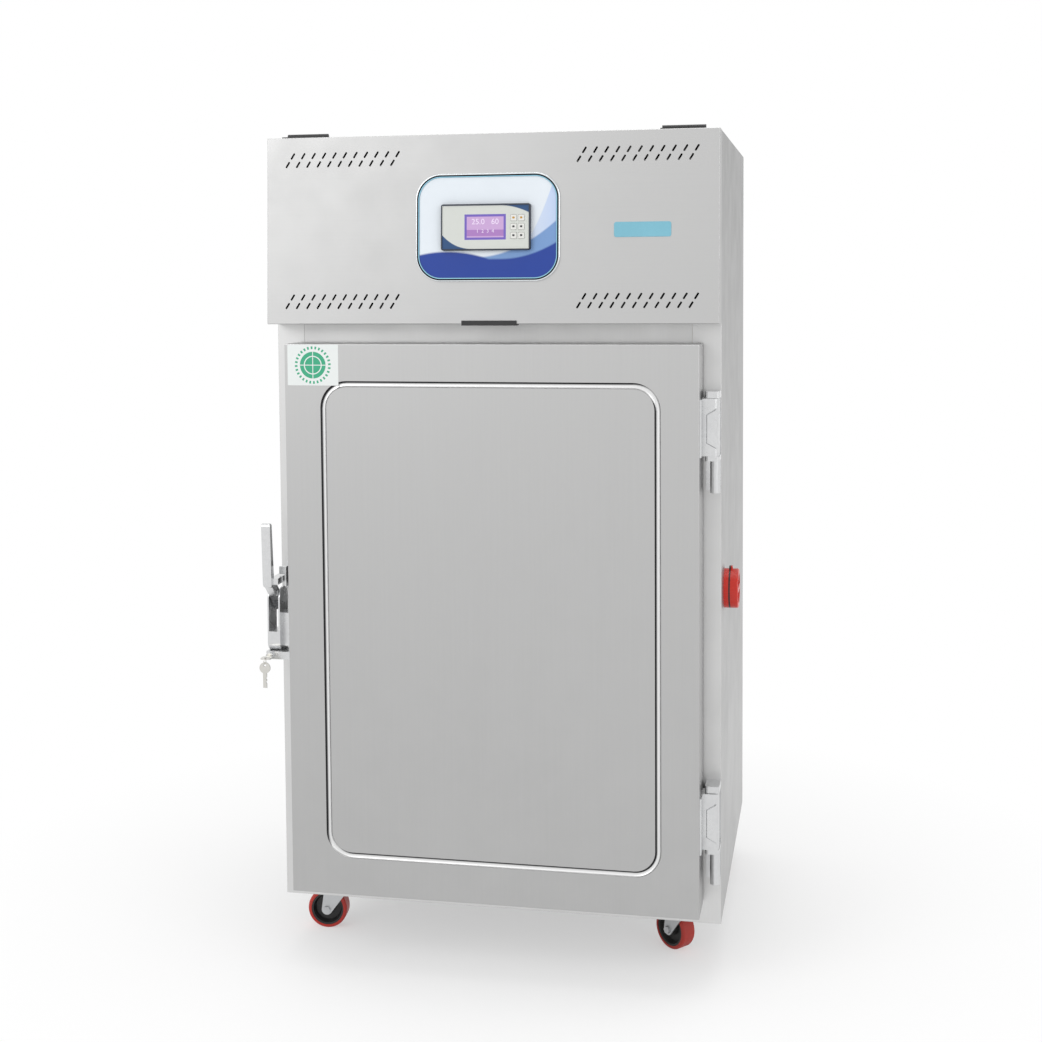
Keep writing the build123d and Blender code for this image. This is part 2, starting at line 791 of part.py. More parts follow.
with BuildPart() as control_plate:
    with BuildSketch(on_fascia(0)):
        with Locations((panel_x, panel_rise)):
            RectangleRounded(
                bezel_width - 2 * bezel_rim - 0.4, bezel_height - 2 * bezel_rim - 0.4,
                bezel_radius - bezel_rim - 0.2,
            )
        with Locations((instrument_x, panel_rise)):
            Rectangle(instrument_rear_width + 1, instrument_rear_height + 1, mode=Mode.SUBTRACT)
    extrude(amount=panel_plate)
keep(control_plate, "control_plate")

# The controller: a rim, a recessed face, a pocket for the window and one for each key.
front_out = panel_plate + instrument_stand
face_out = front_out - instrument_recess
window_x = panel_x - 2.3
key_depth = key_height - key_stand + key_travel + 0.3
with BuildPart() as controller_case:
    with BuildSketch(on_fascia(panel_plate)):
        with Locations((instrument_x, panel_rise)):
            RectangleRounded(instrument_width, instrument_height, 4)
    extrude(amount=instrument_stand)
    fillet(front_edges(controller_case), 1.5)
    with BuildSketch(on_fascia(panel_plate)):
        with Locations((instrument_x, panel_rise)):
            Rectangle(instrument_rear_width, instrument_rear_height)
    extrude(amount=-(instrument_rear_depth + panel_plate))
    with BuildSketch(on_fascia(face_out)):
        with Locations((instrument_x, panel_rise)):
            RectangleRounded(
                instrument_width - 2 * instrument_rim, instrument_height - 2 * instrument_rim, 2,
            )
    extrude(amount=2 * instrument_recess, mode=Mode.SUBTRACT)
    with BuildSketch(on_fascia(face_out)):
        with Locations((window_x, panel_rise)):
            Rectangle(window_width, window_height)
    extrude(amount=-window_glass, mode=Mode.SUBTRACT)
    with BuildSketch(on_fascia(face_out)):
        with Locations((panel_x + key_column + key_pitch_x / 2 - 2, panel_rise)):
            with GridLocations(key_pitch_x, key_pitch_z, 2, 3):
                RectangleRounded(key_size + 2 * key_gap, key_size + 2 * key_gap, 1.5)
    extrude(amount=-key_depth, mode=Mode.SUBTRACT)
keep(controller_case, "controller_case")

with BuildPart() as display_window:
    with BuildSketch(on_fascia(face_out - window_glass)):
        with Locations((window_x, panel_rise)):
            Rectangle(window_width, window_height)
    extrude(amount=window_glass)
keep(display_window, "display_window")

for column in range(2):
    for row in range(3):
        key_x = panel_x + key_column - 2 + column * key_pitch_x
        key_rise = panel_rise + (1 - row) * key_pitch_z
        with BuildPart() as key:
            with BuildSketch(on_fascia(face_out + key_stand - key_height)):
                with Locations((key_x, key_rise)):
                    RectangleRounded(key_size, key_size, 1.2)
            extrude(amount=key_height)
            fillet(front_edges(key), 0.5)
        keep(key, f"key_{column + 1}_{row + 1}")


# Castors, each built round its swivel axis with the wheel trailing along +X.
plate_z = base_z - 3
race_z = plate_z - 3.5
crown_z = race_z - hinge_gap - 6
leg_gap = wheel_width / 2 + 1.5
fork_half = leg_gap + fork_sheet
castor_places = {}
for corner in castor_yaws:
    side_sign = 1 if "right" in corner else -1
    depth_at = castor_inset_y if "front" in corner else cabinet_depth - castor_inset_y
    castor_places[corner] = (side_sign * (half_width - castor_inset_x), depth_at)

with BuildPart() as castor_top_plates:
    for x, y in castor_places.values():
        with BuildSketch(level(plate_z)):
            with Locations((x, y)):
                RectangleRounded(castor_plate, castor_plate, 6)
                with GridLocations(castor_plate - 16, castor_plate - 16, 2, 2):
                    Circle(4.2, mode=Mode.SUBTRACT)
        extrude(amount=base_z - plate_z)
        with BuildSketch(level(race_z)):
            with Locations((x, y)):
                Circle(20)
        extrude(amount=plate_z - race_z)
        with BuildSketch(level(crown_z - hinge_gap - 3)):
            with Locations((x, y)):
                Circle(castor_pin)
        extrude(amount=race_z - crown_z + hinge_gap + 3)
        with BuildSketch(level(crown_z - hinge_gap - 3)):
            with Locations((x, y)):
                RegularPolygon(9, 6)
        extrude(amount=3)
keep(castor_top_plates, "castor_top_plates")

for corner, yaw in castor_yaws.items():
    x, y = castor_places[corner]
    swivel = Pos(x, y, 0) * Rot(0, 0, yaw)
    axle = swivel * Pos(castor_trail, 0, wheel_radius)

    with BuildPart() as fork:
        with BuildSketch(level(crown_z)):
            Circle(26)
            span(-22, 30, -fork_half, fork_half)
        extrude(amount=fork_sheet)
        with BuildSketch(level(crown_z)):
            Circle(22)
        extrude(amount=6)
        chamfer(fork.faces().sort_by(Axis.Z)[-1].edges(), 1.2)
        with BuildSketch(facing(-fork_half)) as leg_side:
            with Locations((castor_trail, wheel_radius)):
                Circle(10)
            span(-22, 30, crown_z - 4, crown_z + fork_sheet)
            make_hull(leg_side.edges())
        extrude(amount=-2 * fork_half)
        block(
            -60, 100, -leg_gap, leg_gap, -10, crown_z, mode=Mode.SUBTRACT,
        )
        with BuildSketch(facing(-fork_half - 3.5)):
            with Locations((castor_trail, wheel_radius)):
                Circle(axle_radius)
        extrude(amount=-2 * (fork_half + 3.5))
        for face_y in (-fork_half - 4, fork_half):
            with BuildSketch(facing(face_y)):
                with Locations((castor_trail, wheel_radius)):
                    RegularPolygon(7, 6)
            extrude(amount=-4)
        with BuildSketch(level(crown_z)):
            Circle(castor_pin + running_gap)
        extrude(amount=8, mode=Mode.SUBTRACT)
    keep(fork, f"castor_fork_{corner}", swivel)

    rim_radius = wheel_radius - tread_thickness
    with BuildPart() as core:
        with BuildSketch(across(0)):
            with BuildLine():
                Polyline(
                    (-leg_gap + hinge_gap, axle_radius + running_gap),
                    (-leg_gap + hinge_gap, 10.5),
                    (-4, 13),
                    (-4, rim_radius - 7),
                    (-wheel_width / 2 + 1, rim_radius - 3.5),
                    (-wheel_width / 2 + 1, rim_radius),
                    (wheel_width / 2 - 1, rim_radius),
                    (wheel_width / 2 - 1, rim_radius - 3.5),
                    (4, rim_radius - 7),
                    (4, 13),
                    (leg_gap - hinge_gap, 10.5),
                    (leg_gap - hinge_gap, axle_radius + running_gap),
                    close=True,
                )
            make_face()
        revolve(axis=Axis.Y)
    keep(core, f"castor_wheel_{corner}", axle)

    with BuildPart() as tread:
        with BuildSketch(across(0)):
            with BuildLine():
                Polyline(
                    (-wheel_width / 2, rim_radius),
                    (-wheel_width / 2, wheel_radius - 3.5),
                    (-wheel_width / 2 + 1.2, wheel_radius - 1.2),
                    (-wheel_width / 2 + 3.5, wheel_radius),
                    (wheel_width / 2 - 3.5, wheel_radius),
                    (wheel_width / 2 - 1.2, wheel_radius - 1.2),
                    (wheel_width / 2, wheel_radius - 3.5),
                    (wheel_width / 2, rim_radius),
                    close=True,
                )
            make_face()
        revolve(axis=Axis.Y)
    keep(tread, f"castor_tread_{corner}", axle)


# Side port: a lined sleeve through the right wall, and the cap that plugs it.
with BuildPart() as port_sleeve:
    for x0, x1, radius in (
        (cavity_half - 3, cavity_half, port_radius - 2),
        (cavity_half, half_width, port_bore + port_sleeve_wall),
        (half_width, half_width + port_collar, port_radius),
    ):
        with BuildSketch(across(x0)):
            with Locations((port_y, port_z)):
                Circle(radius)
        extrude(amount=x1 - x0)
    chamfer(port_sleeve.faces().sort_by(Axis.X)[0].edges(), 1)
    with BuildSketch(across(cavity_half - 3)):
        with Locations((port_y, port_z)):
            Circle(port_bore)
    extrude(amount=half_width + port_collar, mode=Mode.SUBTRACT)
keep(port_sleeve, "port_sleeve")

cap_x = half_width + port_collar
with BuildPart() as port_cap:
    with BuildSketch(across(cap_x)):
        with Locations((port_y, port_z)):
            Circle(port_radius)
    extrude(amount=port_cap_height)
    fillet(port_cap.faces().sort_by(Axis.X)[-1].edges(), 2.5)
    with BuildSketch(across(cap_x + port_cap_height)):
        with Locations((port_y, port_z)):
            Circle(port_radius - 9)
            Rectangle(2 * port_radius - 18, 9, mode=Mode.SUBTRACT)
    extrude(amount=-6, mode=Mode.SUBTRACT)
    block(
        cap_x, cap_x + 6, port_y - 5, port_y + 5,
        port_z + port_radius - 3, port_z + port_radius + 5,
    )
    with BuildSketch(across(cap_x - port_plug)):
        with Locations((port_y, port_z)):
            Circle(port_bore - running_gap)
    extrude(amount=port_plug)
    chamfer(port_cap.faces().sort_by(Axis.X)[0].edges(), 1)
keep(port_cap, "port_cap")


# Chamber fittings
runner_front = 20.0
runner_back = cavity_back - duct_depth - 10
with BuildPart() as shelf_runners:
    for shelf_z in shelf_levels:
        for side in (-1, 1):
            wall = side * cavity_half
            with BuildSketch(facing(runner_front)):
                span(
                    min(wall, wall - side * runner_sheet), max(wall, wall - side * runner_sheet),
                    shelf_z - runner_sheet, shelf_z + 20,
                )
                span(
                    min(wall, wall - side * runner_width), max(wall, wall - side * runner_width),
                    shelf_z - runner_sheet, shelf_z,
                )
            extrude(amount=-(runner_back - runner_front))
keep(shelf_runners, "shelf_runners")

shelf_half = cavity_half - runner_sheet - shelf_side_gap
shelf_front = runner_front + 6
shelf_back = runner_back - 6
with BuildPart() as wire_shelves:
    for shelf_z in shelf_levels:
        rod_z = shelf_z + shelf_rod
        for x in (-shelf_half + shelf_rod, shelf_half - shelf_rod):
            with BuildSketch(facing(shelf_front)):
                with Locations((x, rod_z)):
                    RegularPolygon(shelf_rod, 8)
            extrude(amount=-(shelf_back - shelf_front))
        for y in (shelf_front + shelf_rod, (shelf_front + shelf_back) / 2, shelf_back - shelf_rod):
            with BuildSketch(across(-shelf_half + shelf_rod)):
                with Locations((y, rod_z)):
                    RegularPolygon(shelf_rod, 8)
            extrude(amount=2 * (shelf_half - shelf_rod))
        with BuildSketch(facing(shelf_front)):
            with Locations((0, rod_z + shelf_rod + shelf_wire - 1.2)):
                with GridLocations(2 * (shelf_half - 24) / (shelf_wires - 1), 0, shelf_wires, 1):
                    RegularPolygon(shelf_wire, 6)
        extrude(amount=-(shelf_back - shelf_front))
keep(wire_shelves, "wire_shelves")

duct_y = cavity_back - duct_depth
duct_half = cavity_half - 0.3
with BuildPart() as air_duct_panel:
    with BuildSketch(facing(duct_y)):
        span(-duct_half, duct_half, cavity_floor + 40, cavity_top - 40)
        with Locations((0, fan_z)):
            Circle(fan_radius + 5, mode=Mode.SUBTRACT)
        with Locations((0, cavity_floor + 110)):
            with GridLocations(54, 22, 11, 4):
                Rectangle(38, 8, mode=Mode.SUBTRACT)
        with Locations((0, cavity_top - 70)):
            with GridLocations(80, 14, 7, 2):
                Rectangle(60, 5, mode=Mode.SUBTRACT)
    extrude(amount=-1.5)
    for side in (-1, 1):
        with BuildSketch(facing(duct_y)):
            edge = side * duct_half
            span(
                min(edge, edge - side * 1.5), max(edge, edge - side * 1.5),
                cavity_floor + 40, cavity_top - 40,
            )
        extrude(amount=-(duct_depth - 0.3))
keep(air_duct_panel, "air_duct_panel")

coil_half = 270.0
coil_z0 = cavity_floor + 190
coil_z1 = coil_z0 + 250
with BuildPart() as evaporator_coil:
    block(-coil_half, coil_half, duct_y + 20, duct_y + 62, coil_z0, coil_z1)
    with BuildSketch(facing(duct_y + 20)):
        with Locations((0, (coil_z0 + coil_z1) / 2)):
            with GridLocations(18, 0, 29, 1):
                Rectangle(12, coil_z1 - coil_z0 - 12)
    extrude(amount=-4, mode=Mode.SUBTRACT)
    for side in (-1, 1):
        edge = side * coil_half
        block(
            min(edge, edge + side * 2), max(edge, edge + side * 2),
            duct_y + 12, cavity_back, coil_z0 - 6, coil_z1 + 6,
        )
        for bend in range(4):
            bend_z = coil_z0 + 31 + bend * 62
            with BuildSketch(Plane(origin=(edge, duct_y + 41, bend_z + 12), z_dir=(side, 0, 0))):
                RegularPolygon(bend_tube, 6)
            turn = Axis((edge, duct_y + 41, bend_z), (0, side, 0))
            revolve(axis=turn, revolution_arc=180)
keep(evaporator_coil, "evaporator_coil")


def blade_plane(radius, pitch):
    """A plane square to a fan blade at a radius, turned to the blade's pitch there."""
    turn = radians(pitch)
    return Plane(origin=(radius, 0, 0), x_dir=(0, cos(turn), sin(turn)), z_dir=(1, 0, 0))


cool_y = back_inside - 98
cool_z = header_z + 130
for name, tip, hub, place in (
    ("circulation_fan_rotor", fan_radius, 20.0, Pos(0, duct_y + 22, fan_z) * Rot(90, 0, 0)),
    ("condenser_fan_rotor", cooler_fan_radius, 26.0, Pos(0, cool_y, cool_z) * Rot(-90, 0, 0)),
):
    with BuildPart() as blade:
        for radius, chord, pitch in ((hub - 4, hub * 1.1, 50), (tip, tip * 0.62, 24)):
            with BuildSketch(blade_plane(radius, pitch)):
                Rectangle(chord, 1.8)
        loft(ruled=True)
    with BuildPart() as rotor:
        with BuildSketch(level(-9)):
            Circle(hub)
        extrude(amount=18)
        chamfer(rotor.faces().sort_by(Axis.Z)[-1].edges(), 3)
        with PolarLocations(0, fan_blades):
            add(blade.part)
        with BuildSketch(level(-9)):
            Circle(motor_shaft + running_gap)
        extrude(amount=15, mode=Mode.SUBTRACT)
    keep(rotor, name, place)

# Each motor's shaft reaches into its rotor; a bracket on the deck carries the second motor.
with BuildPart() as fan_motors:
    with BuildSketch(facing(cavity_back)):
        with Locations((0, fan_z)):
            Circle(motor_radius)
    extrude(amount=motor_length)
    with BuildSketch(facing(duct_y + 17)):
        with Locations((0, fan_z)):
            Circle(motor_shaft)
    extrude(amount=-(duct_depth - 17))
    with BuildSketch(facing(cool_y - 14)):
        with Locations((0, cool_z)):
            Circle(motor_radius)
    extrude(amount=motor_length)
    with BuildSketch(facing(cool_y - 14)):
        with Locations((0, cool_z)):
            Circle(motor_shaft)
    extrude(amount=-19)
    block(-24, 24, cool_y - 52, cool_y - 20, header_z, cool_z - motor_radius + 6)
    block(-40, 40, cool_y - 60, cool_y - 12, header_z, header_z + 3)
keep(fan_motors, "fan_motors")

# Machine compartment
pot_x = -250.0
pot_y = 330.0
pot_radius = 82.0
pot_foot = 14.0
pot_height = 190.0
with BuildPart() as compressor:
    with BuildSketch(across(0)):
        with BuildLine():
            Polyline(
                (0, pot_foot),
                (pot_radius * 0.6, pot_foot),
                (pot_radius * 0.88, pot_foot + pot_height * 0.06),
                (pot_radius, pot_foot + pot_height * 0.18),
                (pot_radius, pot_foot + pot_height * 0.82),
                (pot_radius * 0.88, pot_foot + pot_height * 0.94),
                (pot_radius * 0.6, pot_foot + pot_height),
                (0, pot_foot + pot_height),
                close=True,
            )
        make_face()
        span(pot_radius - 4, pot_radius + 3, pot_foot + 92, pot_foot + 98)
    revolve(axis=Axis.Z)
    with BuildSketch(level(pot_foot - 2)):
        with PolarLocations(pot_radius - 6, 3):
            Rectangle(44, 34)
    extrude(amount=10)
    with BuildSketch():
        with PolarLocations(pot_radius + 6, 3):
            Circle(9)
    extrude(amount=pot_foot)
    with BuildSketch(level(pot_foot + pot_height - 4)):
        with Locations((-26, 22), (34, 0)):
            Circle(6)
    extrude(amount=26)
keep(compressor, "compressor", Pos(pot_x, pot_y, header_z))

cooler_half = 130.0
cooler_y0 = cool_y + 26
cooler_y1 = cooler_y0 + 44
with BuildPart() as condenser_coil:
    block(-cooler_half, cooler_half, cooler_y0, cooler_y1, header_z + 16, header_z + 246)
    for y, amount in ((cooler_y0, -5), (cooler_y1, 5)):
        with BuildSketch(facing(y)):
            with Locations((0, header_z + 131)):
                with GridLocations(16, 0, 16, 1):
                    Rectangle(10, 218)
        extrude(amount=amount, mode=Mode.SUBTRACT)
    for side in (-1, 1):
        edge = side * cooler_half
        block(
            min(edge, edge + side * 2), max(edge, edge + side * 2),
            cooler_y0 - 4, cooler_y1 + 4, header_z, header_z + 252,
        )
        for bend in range(4):
            bend_z = header_z + 48 + bend * 54
            with BuildSketch(
                Plane(origin=(edge, (cooler_y0 + cooler_y1) / 2, bend_z + 12), z_dir=(side, 0, 0))
            ):
                RegularPolygon(bend_tube, 6)
            turn = Axis((edge, (cooler_y0 + cooler_y1) / 2, bend_z), (0, side, 0))
            revolve(axis=turn, revolution_arc=180)
keep(condenser_coil, "condenser_coil")

with BuildPart() as humidifier_tank:
    with BuildSketch():
        RectangleRounded(170, 190, 24)
    extrude(amount=185)
    fillet(humidifier_tank.faces().sort_by(Axis.Z)[-1].edges(), 12)
    with BuildSketch(level(183)):
        with Locations((38, 48)):
            Circle(30)
    extrude(amount=22)
    for side in (-1, 1):
        with BuildSketch(level(60)):
            with Locations((side * 85, 0)):
                Rectangle(5, 120)
        extrude(amount=40, mode=Mode.SUBTRACT)
keep(humidifier_tank, "humidifier_tank", Pos(250, 430, header_z))

# Modules of the control gear: centre, width, depth and height on the tray.
module_y = 128.0
gear_modules = (
    (165, 60, 70, 82), (222, 40, 78, 96), (262, 36, 78, 96), (312, 54, 66, 60), (356, 26, 60, 88),
)
with BuildPart() as control_gear_tray:
    block(125, 380, 62, 215, header_z, header_z + 2)
    block(132, 374, module_y - 17, module_y + 17, header_z + 2, header_z + 9)
    for x, width, depth, height in gear_modules:
        with BuildSketch(level(header_z + 9)):
            with Locations((x, module_y)):
                Rectangle(width, depth)
        extrude(amount=height - 20)
        with BuildSketch(level(header_z - 11 + height)):
            with Locations((x, module_y)):
                Rectangle(width, depth * 0.6)
        extrude(amount=20)
keep(control_gear_tray, "control_gear_tray")

# Back fittings: the drain's spigot and the mains inlet.
with BuildPart() as drain_spigot:
    for y0, y1, radius in (
        (cavity_back - 2.5, cavity_back, spigot_wall_radius + 4),
        (cavity_back, cabinet_depth, spigot_wall_radius),
        (cabinet_depth, cabinet_depth + spigot_length, spigot_radius),
    ):
        with BuildSketch(facing(y0)):
            with Locations((spigot_x, drain_z)):
                Circle(radius)
        extrude(amount=-(y1 - y0))
    with BuildSketch(facing(cavity_back - 3)):
        with Locations((spigot_x, drain_z)):
            Circle(spigot_bore)
    extrude(amount=-(back_wall + spigot_length + 5), mode=Mode.SUBTRACT)
keep(drain_spigot, "drain_spigot")

inlet_z = header_z + inlet_rise
with BuildPart() as power_inlet:
    with BuildSketch(facing(cabinet_depth)):
        with Locations((inlet_x, inlet_z)):
            RectangleRounded(60, 34, 4)
            with GridLocations(52, 0, 2, 1):
                Circle(1.8, mode=Mode.SUBTRACT)
    extrude(amount=-3)
    with BuildSketch(facing(cabinet_depth - 24)):
        with Locations((inlet_x, inlet_z)):
            Rectangle(47, 27)
    extrude(amount=-24)
    with BuildSketch(facing(cabinet_depth - 16)):
        with Locations((inlet_x, inlet_z)):
            Rectangle(30, 20)
    extrude(amount=-30, mode=Mode.SUBTRACT)
    with BuildSketch(facing(cabinet_depth - 17)):
        with Locations((inlet_x - 8, inlet_z), (inlet_x + 8, inlet_z), (inlet_x, inlet_z + 5)):
            Rectangle(2, 5)
    extrude(amount=-15)
keep(power_inlet, "power_inlet")
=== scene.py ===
import math

import bpy
import numpy as np
from mathutils import Matrix, Vector


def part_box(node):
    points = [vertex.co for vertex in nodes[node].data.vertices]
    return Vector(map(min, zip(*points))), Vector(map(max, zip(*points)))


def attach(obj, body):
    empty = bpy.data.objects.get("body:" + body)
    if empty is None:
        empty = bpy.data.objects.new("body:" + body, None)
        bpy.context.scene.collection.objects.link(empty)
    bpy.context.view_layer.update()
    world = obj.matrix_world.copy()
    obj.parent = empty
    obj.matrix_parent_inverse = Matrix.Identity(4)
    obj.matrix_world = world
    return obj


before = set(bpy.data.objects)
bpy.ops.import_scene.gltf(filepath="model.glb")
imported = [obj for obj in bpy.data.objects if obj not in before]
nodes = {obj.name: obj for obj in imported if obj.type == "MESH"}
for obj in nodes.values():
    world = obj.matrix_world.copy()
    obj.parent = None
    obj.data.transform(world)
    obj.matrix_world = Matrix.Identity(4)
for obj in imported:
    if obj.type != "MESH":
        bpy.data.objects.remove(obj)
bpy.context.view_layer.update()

print("frame loaded:", len(nodes), "nodes")

# The cabinet's middle, from the casing's box
casingLow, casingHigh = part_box("outer_casing")
cabinetX = (casingLow.x + casingHigh.x) / 2

# Shader helpers


# Feeds a socket from another socket or from a plain value.
def wire(tree, value, socket):
    if isinstance(value, bpy.types.NodeSocket):
        tree.links.new(value, socket)
    else:
        socket.default_value = value


# One Math node and its result.
def calc(tree, operation, *values, clamp=False):
    step = tree.nodes.new("ShaderNodeMath")
    step.operation = operation
    step.use_clamp = clamp
    for value, socket in zip(values, step.inputs):
        wire(tree, value, socket)
    return step.outputs[0]


# first where the mask is 0, second where it is 1.
def blendColour(tree, mask, first, second):
    step = tree.nodes.new("ShaderNodeMix")
    step.data_type = "RGBA"
    wire(tree, mask, step.inputs["Factor"])
    for value, socket in ((first, step.inputs[6]), (second, step.inputs[7])):
        wire(tree, value, socket)
    return step.outputs[2]


def rgb(red, green, blue):
    return (red, green, blue, 1.0)


# An empty shader node group with named sockets, and its two end nodes.
def newGroup(name, inputs, outputs):
    tree = bpy.data.node_groups.new(name, "ShaderNodeTree")
    for label, kind, value in inputs:
        socket = tree.interface.new_socket(name=label, in_out="INPUT", socket_type=kind)
        if value is not None:
            socket.default_value = value
    for label, kind in outputs:
        tree.interface.new_socket(name=label, in_out="OUTPUT", socket_type=kind)
    return tree, tree.nodes.new("NodeGroupInput"), tree.nodes.new("NodeGroupOutput")


grainLook = dict(detail=4.0, gain=2.2, lift=-0.6)


# Rolling grain: noise on coordinates stretched along one axis, and its height.
def makeSheetGrain():
    tree, start, end = newGroup(
        "sheetGrain",
        [
            ("Vector", "NodeSocketVector", None),
            ("Stretch", "NodeSocketVector", (300.0, 300.0, 6.0)),
            ("Sharpness", "NodeSocketFloat", 0.6),
        ],
        [("Height", "NodeSocketFloat"), ("Shade", "NodeSocketFloat")],
    )
    scale = tree.nodes.new("ShaderNodeVectorMath")
    scale.operation = "MULTIPLY"
    tree.links.new(start.outputs["Vector"], scale.inputs[0])
    tree.links.new(start.outputs["Stretch"], scale.inputs[1])
    noise = tree.nodes.new("ShaderNodeTexNoise")
    noise.inputs["Scale"].default_value = 1.0
    noise.inputs["Detail"].default_value = grainLook["detail"]
    tree.links.new(start.outputs["Sharpness"], noise.inputs["Roughness"])
    tree.links.new(scale.outputs[0], noise.inputs["Vector"])
    tree.links.new(noise.outputs["Fac"], end.inputs["Height"])
    gain, lift = grainLook["gain"], grainLook["lift"]
    shade = calc(tree, "MULTIPLY_ADD", noise.outputs["Fac"], gain, lift, clamp=True)
    tree.links.new(shade, end.inputs["Shade"])
    return tree


# Size against the first field, and detail, of each noise
handlingLook = dict(fields=((1.0, 3.0), (4.3, 5.0)), gain=4.0, lift=-0.5)


# Faint wiping marks and dust: two sizes of soft noise multiplied.
def makeHandling():
    tree, start, end = newGroup(
        "handling",
        [("Vector", "NodeSocketVector", None), ("Size", "NodeSocketFloat", 5.0)],
        [("Mask", "NodeSocketFloat")],
    )
    fields = []
    for factor, detail in handlingLook["fields"]:
        noise = tree.nodes.new("ShaderNodeTexNoise")
        noise.inputs["Detail"].default_value = detail
        scale = calc(tree, "MULTIPLY", start.outputs["Size"], factor)
        tree.links.new(scale, noise.inputs["Scale"])
        tree.links.new(start.outputs["Vector"], noise.inputs["Vector"])
        fields.append(noise.outputs["Fac"])
    product = calc(tree, "MULTIPLY", *fields)
    gain, lift = handlingLook["gain"], handlingLook["lift"]
    mask = calc(tree, "MULTIPLY_ADD", product, gain, lift, clamp=True)
    tree.links.new(mask, end.inputs["Mask"])
    return tree


sheetGrain = makeSheetGrain()
handling = makeHandling()


# A group node in a material, fed with object coordinates unless told otherwise.
def placeGroup(tree, group, **values):
    step = tree.nodes.new("ShaderNodeGroup")
    step.node_tree = group
    place = tree.nodes.new("ShaderNodeTexCoord")
    tree.links.new(place.outputs["Object"], step.inputs["Vector"])
    for label, value in values.items():
        wire(tree, value, step.inputs[label])
    return step


# Object coordinates, or the object's own normal, as three sockets.
def axesOf(tree, label="Object"):
    place = tree.nodes.new("ShaderNodeTexCoord")
    split = tree.nodes.new("ShaderNodeSeparateXYZ")
    tree.links.new(place.outputs[label], split.inputs[0])
    return split.outputs


